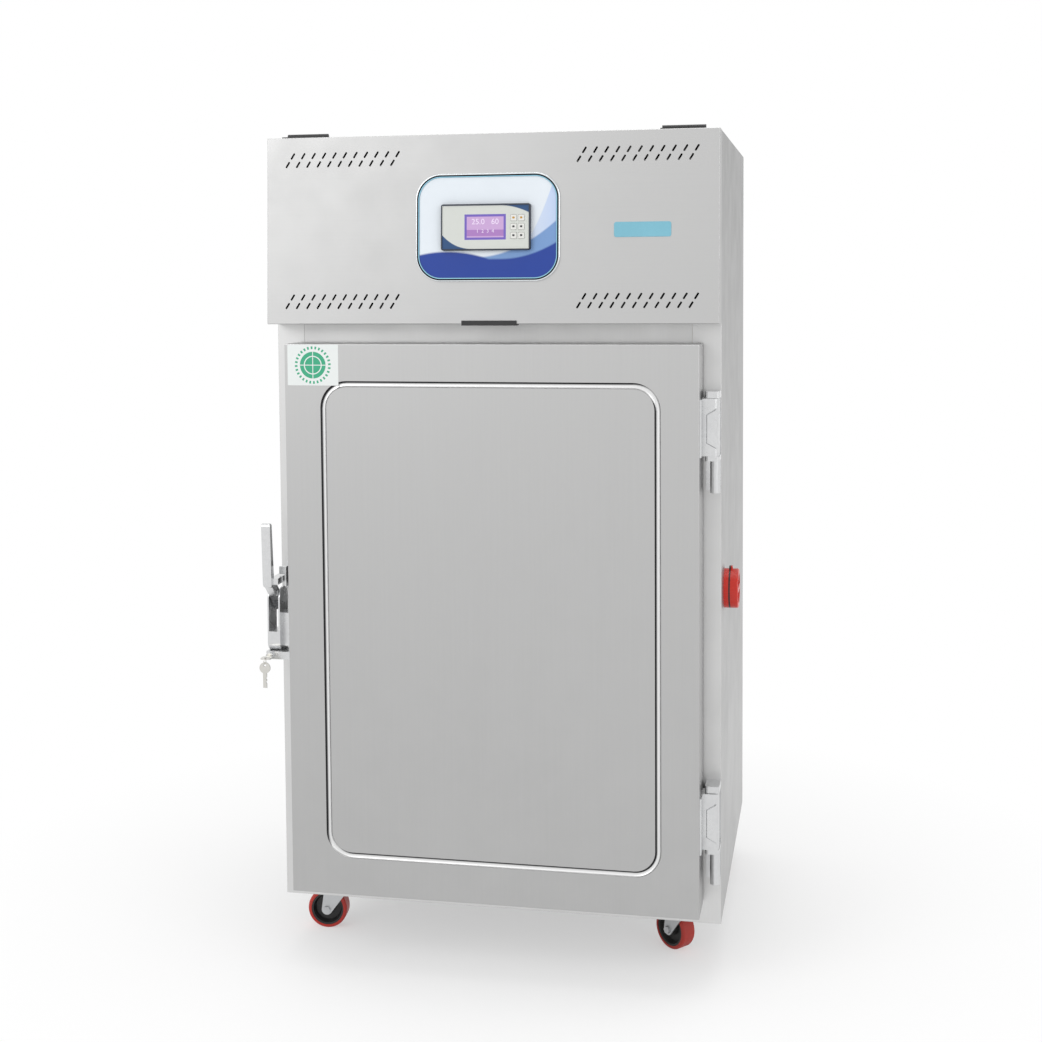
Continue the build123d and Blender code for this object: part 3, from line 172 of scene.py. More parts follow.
# What a user would change about each finish: colour, colour of its marks, roughness, how much
# the marks roughen it, metalness, grain stretch, depth of the grain in metres.
finishes = {
    # Painted light: a paler copy of the steel, lifting the front frame where it lies in the shade
    # of the fascia and door
    "frameSteelPaintedLight": dict(
        colour=rgb(0.64, 0.64, 0.637), marks=rgb(0.6, 0.6, 0.597), roughness=0.38,
        spread=0.08, metallic=1.0, stretch=(420, 420, 5), depth=0.00003,
    ),
    "fasciaSteel": dict(
        colour=rgb(0.5, 0.5, 0.498), marks=rgb(0.47, 0.47, 0.468), roughness=0.44,
        spread=0.08, metallic=1.0, stretch=(5, 420, 420), depth=0.00003,
    ),
    "backSheet": dict(
        colour=rgb(0.5, 0.505, 0.505), marks=rgb(0.46, 0.465, 0.465), roughness=0.45,
        spread=0.15, metallic=1.0, stretch=(60, 60, 60), depth=0.00006,
    ),
    "linerSteel": dict(
        colour=rgb(0.58, 0.58, 0.575), marks=rgb(0.52, 0.52, 0.515), roughness=0.28,
        spread=0.1, metallic=1.0, stretch=(6, 300, 300), depth=0.00004,
    ),
    "platedSteel": dict(
        colour=rgb(0.56, 0.57, 0.58), marks=rgb(0.45, 0.46, 0.47), roughness=0.34,
        spread=0.15, metallic=1.0, stretch=(90, 90, 90), depth=0.00005,
    ),
    "castChrome": dict(
        colour=rgb(0.71, 0.715, 0.72), marks=rgb(0.56, 0.565, 0.57), roughness=0.22,
        spread=0.1, metallic=1.0, stretch=(140, 140, 140), depth=0.00005,
    ),
    "keyNickel": dict(
        colour=rgb(0.72, 0.71, 0.68), marks=rgb(0.55, 0.54, 0.5), roughness=0.25,
        spread=0.15, metallic=1.0, stretch=(500, 500, 500), depth=0.00003,
    ),
    "sealRubber": dict(
        colour=rgb(0.03, 0.03, 0.032), marks=rgb(0.06, 0.06, 0.06), roughness=0.6,
        spread=0.2, metallic=0.0, stretch=(700, 700, 700), depth=0.0001,
    ),
    "pullBlack": dict(
        colour=rgb(0.012, 0.012, 0.013), marks=rgb(0.03, 0.03, 0.03), roughness=0.45,
        spread=0.15, metallic=0.0, stretch=(900, 900, 900), depth=0.0001,
    ),
    "wheelBlack": dict(
        colour=rgb(0.012, 0.012, 0.013), marks=rgb(0.035, 0.034, 0.032), roughness=0.42,
        spread=0.2, metallic=0.0, stretch=(500, 500, 500), depth=0.00008,
    ),
    "treadRed": dict(
        colour=rgb(0.52, 0.022, 0.012), marks=rgb(0.3, 0.03, 0.022), roughness=0.35,
        spread=0.2, metallic=0.0, stretch=(260, 260, 260), depth=0.00012,
    ),
    "foamCream": dict(
        colour=rgb(0.78, 0.68, 0.42), marks=rgb(0.62, 0.5, 0.28), roughness=0.85,
        spread=0.1, metallic=0.0, stretch=(300, 300, 300), depth=0.0006,
    ),
    "keyCap": dict(
        colour=rgb(0.72, 0.72, 0.69), marks=rgb(0.62, 0.62, 0.59), roughness=0.4,
        spread=0.1, metallic=0.0, stretch=(900, 900, 900), depth=0.00005,
    ),
    "finAluminium": dict(
        colour=rgb(0.66, 0.67, 0.68), marks=rgb(0.5, 0.51, 0.52), roughness=0.35,
        spread=0.2, metallic=1.0, stretch=(40, 40, 1600), depth=0.0004,
    ),
    "fanBlack": dict(
        colour=rgb(0.02, 0.02, 0.021), marks=rgb(0.05, 0.05, 0.05), roughness=0.5,
        spread=0.2, metallic=0.0, stretch=(400, 400, 400), depth=0.0001,
    ),
    "motorGrey": dict(
        colour=rgb(0.07, 0.075, 0.08), marks=rgb(0.12, 0.12, 0.12), roughness=0.45,
        spread=0.2, metallic=0.2, stretch=(200, 200, 200), depth=0.0001,
    ),
    "potBlack": dict(
        colour=rgb(0.015, 0.015, 0.016), marks=rgb(0.05, 0.05, 0.05), roughness=0.3,
        spread=0.25, metallic=0.0, stretch=(150, 150, 150), depth=0.0002,
    ),
    "tankMilky": dict(
        colour=rgb(0.74, 0.77, 0.8), marks=rgb(0.66, 0.69, 0.71), roughness=0.4,
        spread=0.15, metallic=0.0, stretch=(120, 120, 120), depth=0.0001,
    ),
    "moduleGrey": dict(
        colour=rgb(0.3, 0.32, 0.34), marks=rgb(0.22, 0.24, 0.25), roughness=0.5,
        spread=0.15, metallic=0.0, stretch=(400, 400, 400), depth=0.0001,
    ),
    "inletBlack": dict(
        colour=rgb(0.015, 0.015, 0.015), marks=rgb(0.04, 0.04, 0.04), roughness=0.45,
        spread=0.1, metallic=0.0, stretch=(600, 600, 600), depth=0.0001,
    ),
}

# How strongly grain and handling marks show on every finish, and how dark marks are on a print
wear = dict(grain=0.3, touch=0.4, printMarks=0.07, patch=4.0, relief=0.5)


# A material: grain gives shade and bump, handling marks tint and roughen it. It has either a
# plain colour and a colour of its marks, or the colour socket that its face function returns: a
# print, or on the door and casing painted light and shade.
def makeFinish(
    name, roughness, spread, metallic, stretch, depth, colour=None, marks=None, printAndPaintedLight=None,
):
    material = bpy.data.materials.new(name)
    material.use_nodes = True
    tree = material.node_tree
    shader = tree.nodes["Principled BSDF"]
    grain = placeGroup(tree, sheetGrain, Stretch=stretch)
    touched = placeGroup(tree, handling, Size=wear["patch"])
    shade = calc(tree, "MULTIPLY", grain.outputs["Shade"], wear["grain"])
    tint = calc(tree, "MULTIPLY_ADD", touched.outputs["Mask"], wear["touch"], shade, clamp=True)
    base = printAndPaintedLight(tree) if printAndPaintedLight else colour
    dark = blendColour(tree, wear["printMarks"], base, rgb(0, 0, 0)) if printAndPaintedLight else marks
    tree.links.new(blendColour(tree, tint, base, dark), shader.inputs["Base Color"])
    rough = calc(tree, "MULTIPLY_ADD", touched.outputs["Mask"], spread, roughness)
    tree.links.new(rough, shader.inputs["Roughness"])
    shader.inputs["Metallic"].default_value = metallic
    bump = tree.nodes.new("ShaderNodeBump")
    bump.inputs["Strength"].default_value = wear["relief"]
    bump.inputs["Distance"].default_value = depth
    tree.links.new(grain.outputs["Height"], bump.inputs["Height"])
    tree.links.new(bump.outputs["Normal"], shader.inputs["Normal"])
    return material


materials = {name: makeFinish(name, **values) for name, values in finishes.items()}
print("finishes made:", len(materials))


# Printed and coloured faces, and the painted light and shade of the door and casing

# 0 below low, 1 above high, a straight slope between.
def ramp(tree, value, low, high):
    step = tree.nodes.new("ShaderNodeMapRange")
    step.inputs["From Min"].default_value = low
    step.inputs["From Max"].default_value = high
    tree.links.new(value, step.inputs["Value"])
    return step.outputs["Result"]


# A coordinate's distance from a middle, as a share of half the width.
def shareOf(tree, socket, centre, half):
    return calc(tree, "DIVIDE", calc(tree, "SUBTRACT", socket, centre), half)


# Across and up a piece seen from the front, each as -1 to 1 over its box.
def faceAxes(tree, low, high):
    axes = axesOf(tree)
    return [
        shareOf(tree, axes[axis], (low[axis] + high[axis]) / 2, (high[axis] - low[axis]) / 2)
        for axis in (0, 2)
    ]


# How far a point, seen from the front, lies inside a rounded rectangle's edge, in metres: the
# usual distance to a box shrunk by its corner radius, less that radius.
def insideRounded(tree, low, high, radius):
    axes = axesOf(tree)
    beyond = []
    for axis in (0, 2):
        centre, half = (low[axis] + high[axis]) / 2, (high[axis] - low[axis]) / 2
        offset = calc(tree, "ABSOLUTE", calc(tree, "SUBTRACT", axes[axis], centre))
        beyond.append(calc(tree, "SUBTRACT", offset, half - radius))
    corner = [calc(tree, "MAXIMUM", value, 0.0) for value in beyond]
    square = [calc(tree, "MULTIPLY", value, value) for value in corner]
    reach = calc(tree, "SQRT", calc(tree, "ADD", *square))
    flat = calc(tree, "MINIMUM", calc(tree, "MAXIMUM", *beyond), 0.0)
    return calc(tree, "SUBTRACT", radius, calc(tree, "ADD", reach, flat))


bezelLow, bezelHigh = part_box("control_bezel")
bezelLook = dict(
    radius=0.045, bright=rgb(0.75, 0.78, 0.8), dark=rgb(0.01, 0.012, 0.016),
    tint=rgb(0.3, 0.58, 0.72), darkFrom=0.0022, tintFrom=0.0048, soft=0.0004,
)


# Bright trim with a dark line inside it and a pale blue lip next to the panel.
def bezelPrint(tree):
    depth = insideRounded(tree, bezelLow, bezelHigh, bezelLook["radius"])
    dark = ramp(tree, depth, bezelLook["darkFrom"], bezelLook["darkFrom"] + bezelLook["soft"])
    face = blendColour(tree, dark, bezelLook["bright"], bezelLook["dark"])
    lip = ramp(tree, depth, bezelLook["tintFrom"], bezelLook["tintFrom"] + bezelLook["soft"])
    return blendColour(tree, lip, face, bezelLook["tint"])


doorLow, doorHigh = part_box("door_skin")
doorLook = dict(
    steel=rgb(0.53, 0.53, 0.528), shade=rgb(0.03, 0.03, 0.032), glint=rgb(0.78, 0.78, 0.78),
    rim=0.04, sunk=0.0015, soft=0.001, turnFrom=0.12, turnTo=0.5, foot=0.12, footTop=1.0,
)


# Steel with painted light: a painted highlight on the floor of the pressed groove and painted
# shade on its walls that face right or down, found by the face's own normal, well inside the
# door's outline. The face also gets painted shade, a little darker towards the foot.
def doorPaintedLight(tree):
    axes = axesOf(tree)
    inside = insideRounded(tree, doorLow, doorHigh, 0.0)
    # Painted shade on the groove's walls that face right or down
    normal = axesOf(tree, "Normal")
    turned = calc(tree, "SUBTRACT", normal[0], normal[2])
    slope = ramp(tree, turned, doorLook["turnFrom"], doorLook["turnTo"])
    inner = ramp(tree, inside, doorLook["rim"], doorLook["rim"] + doorLook["soft"])
    shade = calc(tree, "MULTIPLY", slope, inner)
    # Painted highlight: the groove's floor, behind the face, is made pale
    behind = calc(tree, "SUBTRACT", axes[1], doorLow.y)
    sunk = ramp(tree, behind, doorLook["sunk"], doorLook["sunk"] + doorLook["soft"])
    glint = calc(tree, "MULTIPLY", sunk, inner)
    # Painted shade: the door's face is darker towards the foot
    rise = calc(tree, "SUBTRACT", axes[2], doorLow.z)
    footShade = ramp(tree, rise, doorLook["footTop"], 0.0)
    footShade = calc(tree, "MULTIPLY", footShade, doorLook["foot"])
    face = blendColour(tree, footShade, doorLook["steel"], doorLook["shade"])
    lined = blendColour(tree, glint, face, doorLook["glint"])
    return blendColour(tree, shade, lined, doorLook["shade"])


casingLook = dict(
    front=rgb(0.66, 0.66, 0.657), high=rgb(0.32, 0.32, 0.318), low=rgb(0.46, 0.46, 0.458),
    turnFrom=0.5, turnTo=0.8, foot=0.2,
)


# Steel of the casing with painted light: a painted highlight on the narrow front flanges, whose
# own normal faces forward, and painted shade on the sides, darker towards the top.
def casingPaintedLight(tree):
    axes = axesOf(tree)
    # Painted highlight on the flanges that face forward
    facing = calc(tree, "MULTIPLY", axesOf(tree, "Normal")[1], -1.0)
    forward = ramp(tree, facing, casingLook["turnFrom"], casingLook["turnTo"])
    # Painted shade on the sides, darker towards the top
    rise = calc(tree, "SUBTRACT", axes[2], casingLow.z)
    climb = ramp(tree, rise, casingLook["foot"], casingHigh.z - casingLow.z)
    side = blendColour(tree, climb, casingLook["low"], casingLook["high"])
    return blendColour(tree, forward, side, casingLook["front"])


plateLow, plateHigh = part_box("control_plate")
plateLook = dict(
    white=rgb(0.72, 0.77, 0.82), pale=rgb(0.5, 0.6, 0.8), mid=rgb(0.17, 0.3, 0.56),
    deep=rgb(0.006, 0.04, 0.28), soft=0.02, fadeFrom=0.3, fadeTo=0.95,
)
# Where each sweep starts to rise, how fast, and the height of its flat part
plateSweeps = {
    "pale": dict(start=0.25, gain=3.0, foot=-0.6),
    "mid": dict(start=-0.2, gain=0.5, foot=-0.6),
    "deep": dict(start=0.2, gain=0.5, foot=-0.63),
}
plateHump = dict(centre=-0.6, half=0.62, height=0.15)


# White panel with a pale sweep on the right, a middle one below it and a deep blue foot.
# Each sweep's edge is a parabola in the panel's own -1 to 1 coordinates; the deep one has a
# second, upturned one on the left.
def platePrint(tree):
    x, z = faceAxes(tree, plateLow, plateHigh)
    soft = plateLook["soft"]
    face = plateLook["white"]
    for shade, sweep in plateSweeps.items():
        past = calc(tree, "MAXIMUM", calc(tree, "SUBTRACT", x, sweep["start"]), 0.0)
        edge = calc(tree, "MULTIPLY", calc(tree, "POWER", past, 2.0), sweep["gain"])
        if shade == "deep":
            hump = shareOf(tree, x, plateHump["centre"], plateHump["half"])
            hump = calc(tree, "SUBTRACT", 1.0, calc(tree, "MULTIPLY", hump, hump))
            hump = calc(tree, "MULTIPLY", calc(tree, "MAXIMUM", hump, 0.0), plateHump["height"])
            edge = calc(tree, "ADD", edge, hump)
        edge = calc(tree, "ADD", edge, sweep["foot"])
        below = ramp(tree, calc(tree, "SUBTRACT", edge, z), -soft, soft)
        if shade == "pale":
            fade = ramp(tree, x, plateLook["fadeFrom"], plateLook["fadeTo"])
            below = calc(tree, "MULTIPLY", below, fade)
        face = blendColour(tree, below, face, plateLook[shade])
    return face


caseLow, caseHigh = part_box("controller_case")
caseLook = dict(
    pale=rgb(0.6, 0.62, 0.585), blue=rgb(0.012, 0.06, 0.17), rim=rgb(0.02, 0.025, 0.04),
    soft=0.015, rimSide=(0.962, 0.968), rimTop=(0.925, 0.937),
)
lowCorner = dict(start=-0.1, gain=0.95, power=3.0, level=-0.95)
highCorner = dict(start=0.3, gain=-0.72, power=2.0, level=0.93)


# Pale face with two blue corners; the edges are a cubic and a parabola. The rim is dark.
def casePrint(tree):
    x, z = faceAxes(tree, caseLow, caseHigh)
    left = calc(tree, "MAXIMUM", calc(tree, "SUBTRACT", lowCorner["start"], x), 0.0)
    left = calc(tree, "POWER", left, lowCorner["power"])
    lowEdge = calc(tree, "MULTIPLY_ADD", left, lowCorner["gain"], lowCorner["level"])
    right = calc(tree, "MAXIMUM", calc(tree, "SUBTRACT", x, highCorner["start"]), 0.0)
    right = calc(tree, "POWER", right, highCorner["power"])
    highEdge = calc(tree, "MULTIPLY_ADD", right, highCorner["gain"], highCorner["level"])
    soft = caseLook["soft"]
    inLow = ramp(tree, calc(tree, "SUBTRACT", lowEdge, z), -soft, soft)
    inHigh = ramp(tree, calc(tree, "SUBTRACT", z, highEdge), -soft, soft)
    face = blendColour(tree, inLow, caseLook["pale"], caseLook["blue"])
    face = blendColour(tree, inHigh, face, caseLook["blue"])
    sideways = ramp(tree, calc(tree, "ABSOLUTE", x), *caseLook["rimSide"])
    upwards = ramp(tree, calc(tree, "ABSOLUTE", z), *caseLook["rimTop"])
    border = calc(tree, "MAXIMUM", sideways, upwards)
    return blendColour(tree, border, face, caseLook["rim"])


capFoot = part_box("port_cap")[0].x
capLook = dict(
    red=rgb(0.6, 0.018, 0.006), band=rgb(0.02, 0.012, 0.01),
    bandFrom=(0.0079, 0.0082), bandTo=(0.0108, 0.0112),
)


# Red with a dark band round the cap, between two distances from its foot on the wall.
def capPrint(tree):
    axes = axesOf(tree)
    fromFoot = calc(tree, "SUBTRACT", axes[0], capFoot)
    inside = ramp(tree, fromFoot, *capLook["bandFrom"])
    outside = ramp(tree, fromFoot, *capLook["bandTo"])
    band = calc(tree, "SUBTRACT", inside, outside, clamp=True)
    return blendColour(tree, band, capLook["red"], capLook["band"])


# Finishes whose colour comes from a function: prints, and on the casing and door painted light and
# shade
printedAndPaintedLight = {
    "casingSteel": dict(
        roughness=0.36, spread=0.08, metallic=1.0, stretch=(420, 420, 5),
        depth=0.00003, printAndPaintedLight=casingPaintedLight,
    ),
    "trimPrinted": dict(
        roughness=0.2, spread=0.06, metallic=0.85, stretch=(80, 80, 80),
        depth=0.00002, printAndPaintedLight=bezelPrint,
    ),
    "doorSteelPaintedLight": dict(
        roughness=0.36, spread=0.07, metallic=1.0, stretch=(260, 260, 4),
        depth=0.00002, printAndPaintedLight=doorPaintedLight,
    ),
    "platePrinted": dict(
        roughness=0.3, spread=0.08, metallic=0.0, stretch=(500, 500, 500),
        depth=0.00002, printAndPaintedLight=platePrint,
    ),
    "casePrinted": dict(
        roughness=0.38, spread=0.08, metallic=0.0, stretch=(900, 900, 900),
        depth=0.00004, printAndPaintedLight=casePrint,
    ),
    "capRed": dict(
        roughness=0.28, spread=0.1, metallic=0.0, stretch=(300, 300, 300),
        depth=0.00006, printAndPaintedLight=capPrint,
    ),
}
for name, values in printedAndPaintedLight.items():
    materials[name] = makeFinish(name, **values)

windowLow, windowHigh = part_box("display_window")
windowLook = dict(
    frame=rgb(0.13, 0.09, 0.37), lit=rgb(0.44, 0.29, 0.5), line=rgb(0.27, 0.12, 0.36),
    frameSide=(0.88, 0.9), frameTop=(0.8, 0.83), rowFrom=(-0.72, -0.7), rowTo=(-0.22, -0.2),
    rowShare=0.8, glow=0.25, roughness=0.12, spread=0.06, patch=20.0,
)


# A lit display: a dark violet border, a lilac field and a darker row on it.
def makeWindow():
    material = bpy.data.materials.new("displayLit")
    material.use_nodes = True
    tree = material.node_tree
    shader = tree.nodes["Principled BSDF"]
    x, z = faceAxes(tree, windowLow, windowHigh)
    sideways = ramp(tree, calc(tree, "ABSOLUTE", x), *windowLook["frameSide"])
    upwards = ramp(tree, calc(tree, "ABSOLUTE", z), *windowLook["frameTop"])
    border = calc(tree, "MAXIMUM", sideways, upwards)
    aboveRow = ramp(tree, z, *windowLook["rowTo"])
    row = calc(tree, "SUBTRACT", ramp(tree, z, *windowLook["rowFrom"]), aboveRow)
    row = calc(tree, "MULTIPLY", row, windowLook["rowShare"])
    face = blendColour(tree, row, windowLook["lit"], windowLook["line"])
    face = blendColour(tree, border, face, windowLook["frame"])
    tree.links.new(face, shader.inputs["Base Color"])
    tree.links.new(face, shader.inputs["Emission Color"])
    shader.inputs["Emission Strength"].default_value = windowLook["glow"]
    mask = placeGroup(tree, handling, Size=windowLook["patch"]).outputs["Mask"]
    rough = calc(tree, "MULTIPLY_ADD", mask, windowLook["spread"], windowLook["roughness"])
    tree.links.new(rough, shader.inputs["Roughness"])
    return material


materials["displayLit"] = makeWindow()

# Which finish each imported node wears

wears = {
    "outer_casing": "casingSteel", "front_frame": "frameSteelPaintedLight", "back_panel": "backSheet",
    "inner_liner": "linerSteel", "cabinet_insulation": "foamCream",
    "machine_deck": "platedSteel", "base_frame": "platedSteel",
    "shelf_runners": "linerSteel", "wire_shelves": "castChrome",
    "air_duct_panel": "linerSteel", "evaporator_coil": "finAluminium",
    "fan_motors": "motorGrey", "compressor": "potBlack", "condenser_coil": "finAluminium",
    "humidifier_tank": "tankMilky", "control_gear_tray": "moduleGrey",
    "port_sleeve": "capRed", "port_cap": "capRed", "drain_spigot": "platedSteel",
    "power_inlet": "inletBlack", "latch_keeper": "castChrome",
    "hinge_frame_leaves": "castChrome", "hinge_door_leaves": "castChrome",
    "fascia_hinge_fixed_leaves": "pullBlack", "fascia_hinge_moving_leaves": "pullBlack",
    "castor_top_plates": "platedSteel", "circulation_fan_rotor": "fanBlack",
    "condenser_fan_rotor": "fanBlack", "fascia_panel": "fasciaSteel",
    "fascia_pull": "pullBlack", "control_bezel": "trimPrinted",
    "control_plate": "platePrinted", "controller_case": "casePrinted",
    "display_window": "displayLit", "door_skin": "doorSteelPaintedLight", "door_liner": "linerSteel",
    "door_insulation": "foamCream", "door_gasket": "sealRubber",
    "latch_body": "castChrome", "latch_lever": "castChrome", "lock_key": "keyNickel",
    "spare_key": "keyNickel",
}
keyNames = [f"key_{column}_{row}" for column in (1, 2) for row in (1, 2, 3)]
cornerNames = ["front_left", "front_right", "rear_left", "rear_right"]
wears.update({name: "keyCap" for name in keyNames})
for corner in cornerNames:
    wears[f"castor_fork_{corner}"] = "platedSteel"
    wears[f"castor_wheel_{corner}"] = "wheelBlack"
    wears[f"castor_tread_{corner}"] = "treadRed"

for name, finish in wears.items():
    thing = nodes[name]
    if not thing.material_slots:
        thing.data.materials.append(materials[finish])
    for slot in thing.material_slots:
        slot.material = materials[finish]
print("nodes finished:", len(wears))

# Surfaces on the leaning fascia and on the door

# The fascia is 16 mm shallower at the top than at its foot, 329 mm lower
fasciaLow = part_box("fascia_panel")[0]
fascia = dict(lean=math.atan2(0.016, 0.329), front=fasciaLow.y, foot=fasciaLow.z)


# Points on the fascia's face: across, up along the lean, and out square to it.
def onFascia(x, rise, out):
    cosLean, sinLean = math.cos(fascia["lean"]), math.sin(fascia["lean"])
    return np.stack([
        cabinetX + x,
        fascia["front"] + rise * sinLean - out * cosLean,
        fascia["foot"] + rise * cosLean + out * sinLean,
    ], axis=-1)


# Points on the door's face: across, up from its foot, and out.
def onDoor(x, rise, out):
    zero = np.zeros_like(x)
    return np.stack([cabinetX + x, doorLow.y - out + zero, doorLow.z + rise], axis=-1)


# A rectangle's outline with quarter circles at the corners, counter-clockwise.
def roundedOutline(width, height, radius, perCorner=8):
    turn = np.linspace(0, np.pi / 2, perCorner)
    quarters = np.array([[1, 1], [-1, 1], [-1, -1], [1, -1]])
    starts = np.arange(4) * np.pi / 2
    angle = (starts[:, None] + turn[None, :]).ravel()
    centre = np.repeat(quarters * [width / 2 - radius, height / 2 - radius], perCorner, axis=0)
    return centre + radius * np.stack([np.cos(angle), np.sin(angle)], axis=-1)


# A flat-shaded mesh with its material that rides on a body.
def addMesh(name, points, faces, material, body):
    mesh = bpy.data.meshes.new(name)
    mesh.from_pydata(points.tolist(), [], faces)
    mesh.materials.append(material)
    mesh.update()
    piece = bpy.data.objects.new(name, mesh)
    bpy.context.scene.collection.objects.link(piece)
    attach(piece, body)
    return piece


# A flat plate: its outline carried through three rings, the last drawn in by the bevel, and
# closed at both ends.
def slab(name, place, centre, outline, low, high, bevel, material, body):
    inner = outline * (1 - bevel / np.abs(outline).max(axis=0))
    rings = [(outline, low), (outline, high - bevel), (inner, high)]
    points = np.concatenate([
        place(centre[0] + ring[:, 0], centre[1] + ring[:, 1], np.full(len(ring), out))
        for ring, out in rings
    ])
    count = len(outline)
    here = np.arange(count)
    after = (here + 1) % count
    sides = [
        np.stack([step * count + here, step * count + after,
                  (step + 1) * count + after, (step + 1) * count + here], axis=-1)
        for step in range(2)
    ]
    faces = np.concatenate(sides).tolist()
    faces.append((2 * count + here).tolist())
    faces.append(here[::-1].tolist())
    return addMesh(name, points, faces, material, body)


# How far a plate's back stays clear of the face it lies on
clear = 0.00002
badge = dict(
    centre=(0.2698, 0.1605), size=(0.0975, 0.0257), radius=0.004, thick=0.0009, bevel=0.0003,
)
materials["badgeBlue"] = makeFinish(
    "badgeBlue", colour=rgb(0.2, 0.47, 0.58), marks=rgb(0.16, 0.4, 0.5), roughness=0.3,
    spread=0.1, metallic=0.0, stretch=(400, 400, 400), depth=0.00003,
)
slab(
    "badge_plate", onFascia, badge["centre"],
    roundedOutline(*badge["size"], badge["radius"]), clear, badge["thick"], badge["bevel"],
    materials["badgeBlue"], "fascia",
)

sticker = dict(
    centre=(-0.3075, 0.9465), size=(0.093, 0.0715), radius=0.0015, thick=0.0003, bevel=0.0001,
)
stickerLook = dict(
    paper=rgb(0.74, 0.77, 0.76), green=rgb(0.04, 0.36, 0.2), disc=0.0235, gap=0.0155,
    gapHalf=0.0009, line=0.0007, ring=0.0305, ringHalf=0.0024, dots=28.0, dotLevel=0.1,
)


# White paper with a green disc, a pale ring and a pale cross cut in it, and a ring of dots
# round it: the dots are where the sine of the angle times their count is high.
def stickerPrint(tree):
    axes = axesOf(tree)
    x = calc(tree, "SUBTRACT", axes[0], cabinetX + sticker["centre"][0])
    z = calc(tree, "SUBTRACT", axes[2], doorLow.z + sticker["centre"][1])
    squares = calc(tree, "ADD", calc(tree, "MULTIPLY", x, x), calc(tree, "MULTIPLY", z, z))
    reach = calc(tree, "SQRT", squares)
    disc = calc(tree, "LESS_THAN", reach, stickerLook["disc"])
    gap = calc(tree, "COMPARE", reach, stickerLook["gap"], stickerLook["gapHalf"])
    toLine = calc(tree, "MINIMUM", calc(tree, "ABSOLUTE", x), calc(tree, "ABSOLUTE", z))
    cross = calc(tree, "LESS_THAN", toLine, stickerLook["line"])
    cut = calc(tree, "MAXIMUM", gap, cross)
    disc = calc(tree, "MULTIPLY", disc, calc(tree, "SUBTRACT", 1.0, cut))
    around = calc(tree, "ARCTAN2", z, x)
    beat = calc(tree, "SINE", calc(tree, "MULTIPLY", around, stickerLook["dots"]))
    ring = calc(tree, "COMPARE", reach, stickerLook["ring"], stickerLook["ringHalf"])
    dots = calc(tree, "MULTIPLY", calc(tree, "GREATER_THAN", beat, stickerLook["dotLevel"]), ring)
    green = calc(tree, "MAXIMUM", disc, dots)
    return blendColour(tree, green, stickerLook["paper"], stickerLook["green"])


materials["stickerPrinted"] = makeFinish(
    "stickerPrinted", roughness=0.35, spread=0.08, metallic=0.0, stretch=(500, 500, 500),
    depth=0.00002, printAndPaintedLight=stickerPrint,
)
slab(
    "door_sticker", onDoor, sticker["centre"],
    roundedOutline(*sticker["size"], sticker["radius"], 4), clear, sticker["thick"],
    sticker["bevel"], materials["stickerPrinted"], "door",
)

# Small marks on the keys, amber on the first row
materials["markInk"] = makeFinish(
    "markInk", colour=rgb(0.03, 0.03, 0.035), marks=rgb(0.06, 0.06, 0.06), roughness=0.5,
    spread=0.1, metallic=0.0, stretch=(900, 900, 900), depth=0.00002,
)
materials["markAmber"] = makeFinish(
    "markAmber", colour=rgb(0.5, 0.26, 0.03), marks=rgb(0.4, 0.2, 0.03), roughness=0.5,
    spread=0.1, metallic=0.0, stretch=(900, 900, 900), depth=0.00002,
)
mark = dict(
    size=(0.0042, 0.0036), radius=0.0012, lift=0.0002, low=0.00961, high=0.00972, bevel=0.00004,
)
for name in keyNames:
    low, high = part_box(name)
    rise = (low.z + high.z) / 2 - fascia["foot"]
    finish = "markAmber" if name.endswith("_1") else "markInk"
    slab(
        f"mark_{name}", onFascia, ((low.x + high.x) / 2 - cabinetX, rise + mark["lift"]),
        roundedOutline(*mark["size"], mark["radius"], 5), mark["low"], mark["high"], mark["bevel"],
        materials[finish], f"{name}_cap",
    )

numbers = dict(thick=0.0001, height=0.0095, small=0.006, out=0.0087, figureShare=0.7)


# Plain numbers on the display: a mesh of the built-in face, laid on the window's plane. Its
# figures stand 0.7 of its size.
def addNumbers(name, words, centre, height, out):
    line = bpy.data.curves.new(name, "FONT")
    line.body = words
    line.align_x = "CENTER"
    line.align_y = "CENTER"
    line.size = height / numbers["figureShare"]
    line.extrude = numbers["thick"] / 2
    holder = bpy.data.objects.new(name, line)
    flat = bpy.data.meshes.new_from_object(holder)
    points = np.empty(3 * len(flat.vertices))
    flat.vertices.foreach_get("co", points)
    points = points.reshape(-1, 3)
    faces = [list(face.vertices) for face in flat.polygons]
    laid = onFascia(centre[0] + points[:, 0], centre[1] + points[:, 1], out + points[:, 2])
    bpy.data.objects.remove(holder)
    bpy.data.meshes.remove(flat)
    return addMesh(name, laid, faces, materials["numberPale"], "fascia")


materials["numberPale"] = makeFinish(
    "numberPale", colour=rgb(0.8, 0.7, 0.86), marks=rgb(0.74, 0.62, 0.8), roughness=0.4,
    spread=0.1, metallic=0.0, stretch=(900, 900, 900), depth=0.00002,
)
windowX = (windowLow.x + windowHigh.x) / 2 - cabinetX
windowRise = ((windowLow.z + windowHigh.z) / 2 - fascia["foot"]) / math.cos(fascia["lean"])
rows = (
    ("numbers_upper", "25.0   60", 0.0085, numbers["height"]),
    ("numbers_lower", "1  2  3  4", -0.0075, numbers["small"]),
)
for name, words, lift, height in rows:
    addNumbers(name, words, (windowX, windowRise + lift), height, numbers["out"])
print("prints placed")

# Stage, light and camera

floor = dict(
    side=30.0, near=0.45, far=1.25, white=0.45, pale=rgb(0.93, 0.93, 0.93), roughness=0.9,
    specular=0.1,
)


# 1 for camera, gloss and transmission rays, 0 for the rest.
def seenRays(tree):
    rays = tree.nodes.new("ShaderNodeLightPath")
    seen = calc(tree, "MAXIMUM", rays.outputs["Is Camera Ray"], rays.outputs["Is Glossy Ray"])
    return calc(tree, "MAXIMUM", seen, rays.outputs["Is Transmission Ray"])


